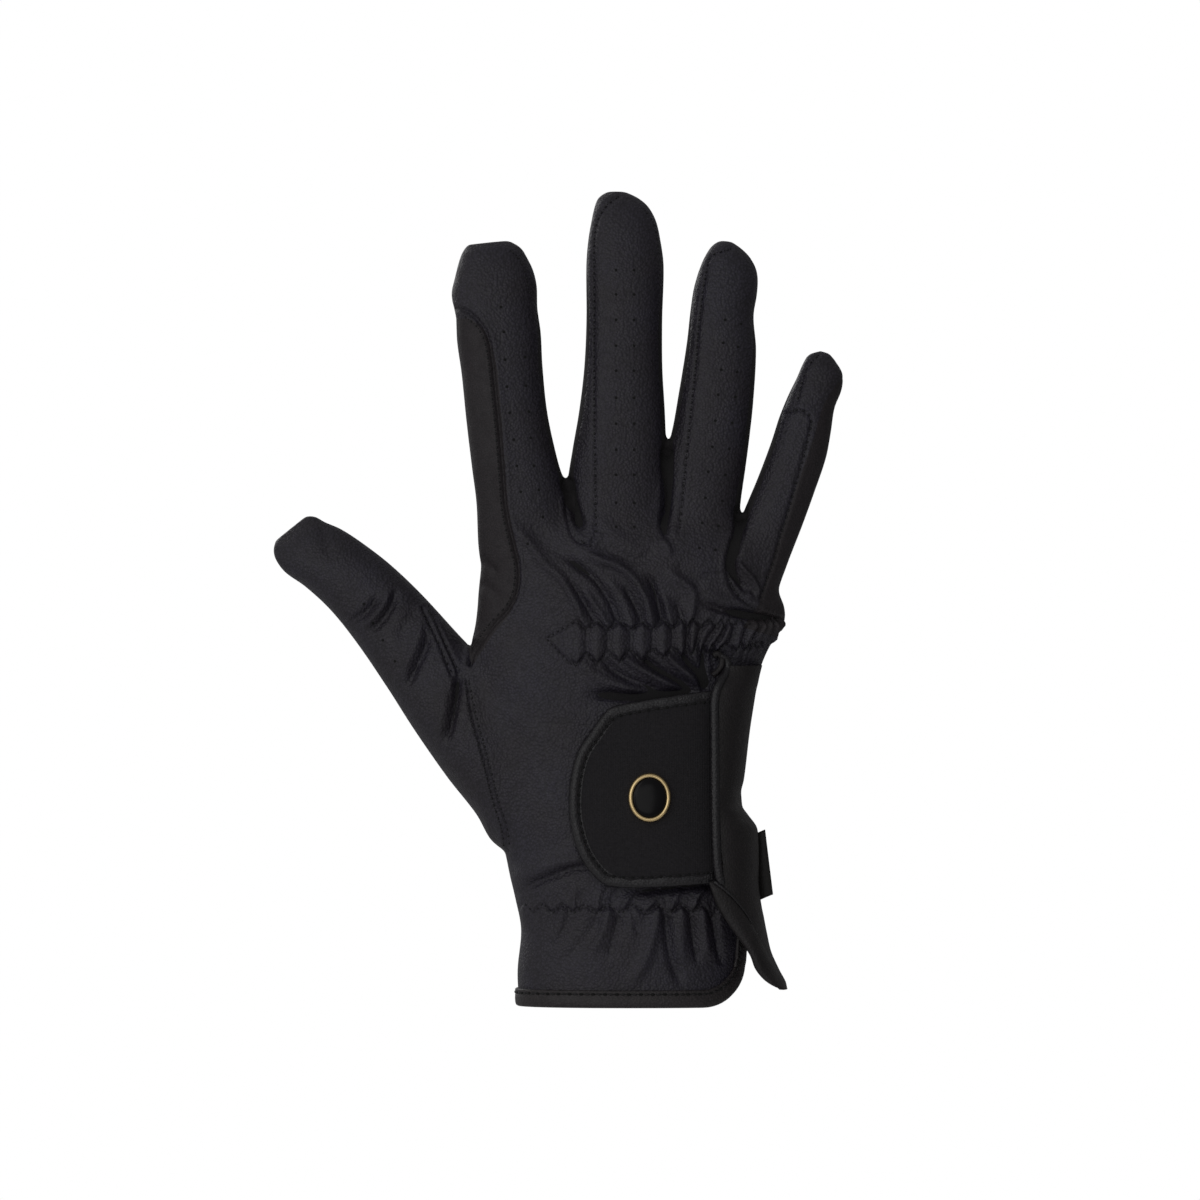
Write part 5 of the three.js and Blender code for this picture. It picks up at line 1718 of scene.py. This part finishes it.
def add_flap():
    levels = 200
    columns = 30
    z = np.linspace(FLAP[0, 0], FLAP[-1, 0], levels) * HAND_LENGTH
    front = flap_edge_y(z) * 0.999
    rear = np.minimum(FLAP_WRAP - GAP, read(FLAP, z / HAND_LENGTH)[:, 2] * HAND_DEPTH)
    outer = []
    for k in range(columns + 1):
        y = rear + (front - rear) * math.sin(math.pi / 2 * k / columns)
        outer.append(np.column_stack([flap_x(z, y), y]))
    outer = np.stack(outer, axis=1)
    run = np.gradient(outer, axis=1)
    run /= np.maximum(np.linalg.norm(run, axis=2), 1e-9)[:, :, None]
    inner = np.stack([outer[:, :, 0] + run[:, :, 1] * WALL, outer[:, :, 1] - run[:, :, 0] * WALL], axis=-1)
    rings = np.concatenate([outer, inner[:, ::-1]], axis=1)
    heights = np.repeat(z[:, None], rings.shape[1], axis=1)
    body = loft(np.stack([rings[:, :, 0], rings[:, :, 1], heights], axis=-1))
    # The flap's leather carries painted shade.
    piece("side_flap_skin", body, SHADED_FLAP_LEATHER, ["side_flap"])


def add_bead():
    line = curve(BEAD, 10)
    y = above_skin(line[:, 0], line[:, 1], flap_lift(line[:, 1]) - 0.2)
    share = np.linspace(0, 1, len(line))
    size = BEAD_RADIUS * (0.35 + 0.65 * smooth(share / 0.03)) * (0.55 + 0.45 * smooth((1 - share) / 0.12))
    piece("flap_edge_bead", cord(with_depth(line, y), size), BINDING_LEATHER)


def flap_front_y(x, z):
    """Depth of the flap's front face."""
    edge = flap_edge_x(z)
    far = read(FLAP, z / HAND_LENGTH)[:, 1] * HAND_WIDTH
    share = np.clip((x - edge) / (far - edge), 0, 0.98)
    return flap_edge_y(z) * (1 - share**BOXINESS) ** (1 / BOXINESS)


# The flap's folded tail, from under the strap to its tip: its free edge and its fold.
TAIL_EDGE = pixels(
    (708, 880), (711, 890), (716, 903), (724, 917), (733, 930), (742, 942), (749, 953), (754, 966),
    (763, 977), (774, 984), (783, 986.5),
)
TAIL_FOLD = pixels(
    (713, 880), (722, 887), (732, 896), (741, 907), (749, 919), (756, 931), (762, 943), (767, 953),
    (773, 964), (779, 974), (785, 982),
)
# Across the tail: share of its width, and height above the flap.
TAIL_PROFILE = [
    (0.02, -0.9), (0.0, 0.1), (0.04, 0.8), (0.14, 1.25), (0.32, 1.4), (0.6, 1.2), (0.85, 0.95), (0.97, 0.6),
    (1.0, 0.1), (0.98, -0.8),
]


def add_tail():
    edge = curve(TAIL_EDGE, 6)
    fold = curve(TAIL_FOLD, 6)
    ends = smooth(np.linspace(0, 1, len(edge)) * 12) * smooth(np.linspace(1, 0, len(edge)) * 9)
    swell = 0.35 + 0.65 * ends
    rows = []
    for share, lift in TAIL_PROFILE:
        places = edge + (fold - edge) * share
        flap = flap_front_y(places[:, 0], places[:, 1])
        rows.append(with_depth(places, flap - 0.3 - max(lift, 0) * swell - min(lift, 0)))
    # The tail's leather carries painted shade.
    piece("flap_tail", loft(np.stack(rows, axis=1)), SHADED_FLAP_LEATHER)


def add_tail_rim():
    """A fine cord along the upper part of the tail's fold."""
    line = curve(TAIL_FOLD, 6)[:28] + np.array([0.1, 0.2])
    y = flap_front_y(line[:, 0], line[:, 1]) - 0.75
    size = 0.5 * (1 - 0.7 * np.linspace(0, 1, len(line)))
    piece("flap_tail_rim", cord(with_depth(line, y), size), BINDING_LEATHER)


def add_piping():
    path = curve(np.array(LOOP) * [HAND_WIDTH, HAND_LENGTH], 8)
    y = above_skin(path[:, 0], path[:, 1], GAP + PIPING_RADIUS + 0.2)
    shape = cord(with_depth(path, y), np.full(len(path), PIPING_RADIUS))
    # The piping's leather carries painted shade.
    piece("slit_piping_roll", shape, SHADED_FLAP_LEATHER, ["slit_piping"])


def add_tag():
    """The folded ribbon, which leans out of the seam and turns up a little."""
    levels = 30
    low = 0.215 * HAND_LENGTH
    middle = TAG_Y + TAG_THICKNESS / 2
    z = np.linspace(low, low + TAG_HEIGHT, levels)
    share = np.linspace(0, 1, levels)
    inner = flap_x(z, np.full(levels, middle)) - 0.2
    outer = 0.392 * HAND_WIDTH + TAG_REACH + 0.7 - 2.3 * share
    outer_z = z + 1.6 - 0.7 * share
    rings = []
    for k in range(levels):
        near = np.array([inner[k], middle, z[k]])
        far = np.array([outer[k], middle, outer_z[k]])
        front = [near + [0, -0.3, 0], far + [-0.2, -0.35, 0]]
        back = [far + [-0.2, 0.35, 0], near + [0, 0.3, 0]]
        rings.append([*front, far, *back])
    piece("side_tag_ribbon", loft(rings), RIBBON, ["side_tag"])


def dress_pad():
    """The hidden pad keeps its own surface and takes only a material."""
    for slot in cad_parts["closure_pad"].material_slots:
        slot.material = PAD


# Floor, background, lights and camera


# In metres, as are the lights' places and sizes
FLOOR_HALF = 0.6
FLOOR_Z = -0.25
CAMERA_DISTANCE = 3.0
LIGHT_AIM = (-0.01, 0, 0.12)
# Name, place, side and power, and whether glossy surfaces mirror the light.
LIGHTS = [
    ("left", (-1.6, -1.2, 0.4), 1.0, 1.7, True),
    ("upper_left", (-0.9, -1.3, 0.9), 1.0, 2.0, True),
    ("front", (-0.2, -1.8, 0.3), 1.2, 2.6, True),
    ("behind_left", (-0.9, 1.6, 0.8), 1.0, 4.0, True),
    ("behind_right", (0.9, 1.6, 0.7), 1.0, 6.0, False),
]


def add_floor():
    corners = [(x * FLOOR_HALF, y * FLOOR_HALF, FLOOR_Z) for x, y in ((-1, -1), (1, -1), (1, 1), (-1, 1))]
    mesh = bpy.data.meshes.new("floor")
    mesh.from_pydata(corners, [], [(0, 1, 2, 3)])
    floor = bpy.data.objects.new("floor", mesh)
    bpy.context.scene.collection.objects.link(floor)
    material, _, _, shader = new_material("floor")
    shader.inputs["Base Color"].default_value = (0.8, 0.8, 0.8, 1)
    shader.inputs["Roughness"].default_value = 0.9
    mesh.materials.append(material)


def add_world():
    """A white backdrop, and soft studio light that comes more from the left and from above."""
    world = bpy.data.worlds.new("studio")
    world.use_nodes = True
    bpy.context.scene.world = world
    nodes = world.node_tree.nodes
    links = world.node_tree.links
    nodes.clear()
    direction = nodes.new("ShaderNodeTexCoord")
    toward = nodes.new("ShaderNodeVectorMath")
    toward.operation = "DOT_PRODUCT"
    toward.inputs[1].default_value = (-0.85, -0.3, 0.45)
    strength = nodes.new("ShaderNodeMapRange")
    for name, value in (("From Min", -1), ("From Max", 1), ("To Min", 0.09), ("To Max", 0.34)):
        strength.inputs[name].default_value = value
    seen = nodes.new("ShaderNodeBackground")
    seen.inputs["Color"].default_value = (1, 1, 1, 1)
    lighting = nodes.new("ShaderNodeBackground")
    lighting.inputs["Color"].default_value = (1, 1, 1, 1)
    path = nodes.new("ShaderNodeLightPath")
    mix = nodes.new("ShaderNodeMixShader")
    output = nodes.new("ShaderNodeOutputWorld")
    links.new(direction.outputs["Generated"], toward.inputs[0])
    links.new(toward.outputs["Value"], strength.inputs["Value"])
    links.new(strength.outputs["Result"], lighting.inputs["Strength"])
    links.new(path.outputs["Is Camera Ray"], mix.inputs["Fac"])
    links.new(lighting.outputs["Background"], mix.inputs[1])
    links.new(seen.outputs["Background"], mix.inputs[2])
    links.new(mix.outputs["Shader"], output.inputs["Surface"])


def add_light(name, place, side, power, glossy):
    light = bpy.data.lights.new(name, "AREA")
    light.shape = "RECTANGLE"
    light.size = side
    light.size_y = side
    light.energy = power
    obj = bpy.data.objects.new(name, light)
    obj.location = place
    obj.rotation_euler = (Vector(LIGHT_AIM) - Vector(place)).to_track_quat("-Z", "Y").to_euler()
    obj.visible_glossy = glossy
    bpy.context.scene.collection.objects.link(obj)


def add_camera():
    camera = bpy.data.cameras.new("camera")
    obj = bpy.data.objects.new("camera", camera)
    obj.location = (VIEW_X * MM, -CAMERA_DISTANCE, VIEW_Z * MM)
    obj.rotation_euler = (math.pi / 2, 0, 0)
    camera.sensor_width = 36
    camera.lens = 36 * CAMERA_DISTANCE / (VIEW_WIDTH * MM)
    camera.clip_end = 20
    bpy.context.scene.collection.objects.link(obj)
    bpy.context.scene.camera = obj


def main():
    points, quads, normals, hanging = folded_skin()
    sewn_points, border = add_panels(points, quads, normals, hanging)
    add_palm_stitches(sewn_points, border, normals)
    add_lining()
    surface = Surface(points, quads)
    add_stitches(surface)
    add_zigzags(surface)
    add_hem()
    add_strap()
    add_badge_rim()
    add_badge_face()
    add_flap()
    add_bead()
    add_tail()
    add_tail_rim()
    add_piping()
    add_tag()
    dress_pad()
    add_floor()
    add_world()
    for light in LIGHTS:
        add_light(*light)
    add_camera()
    bpy.context.scene.view_settings.view_transform = "Standard"


main()
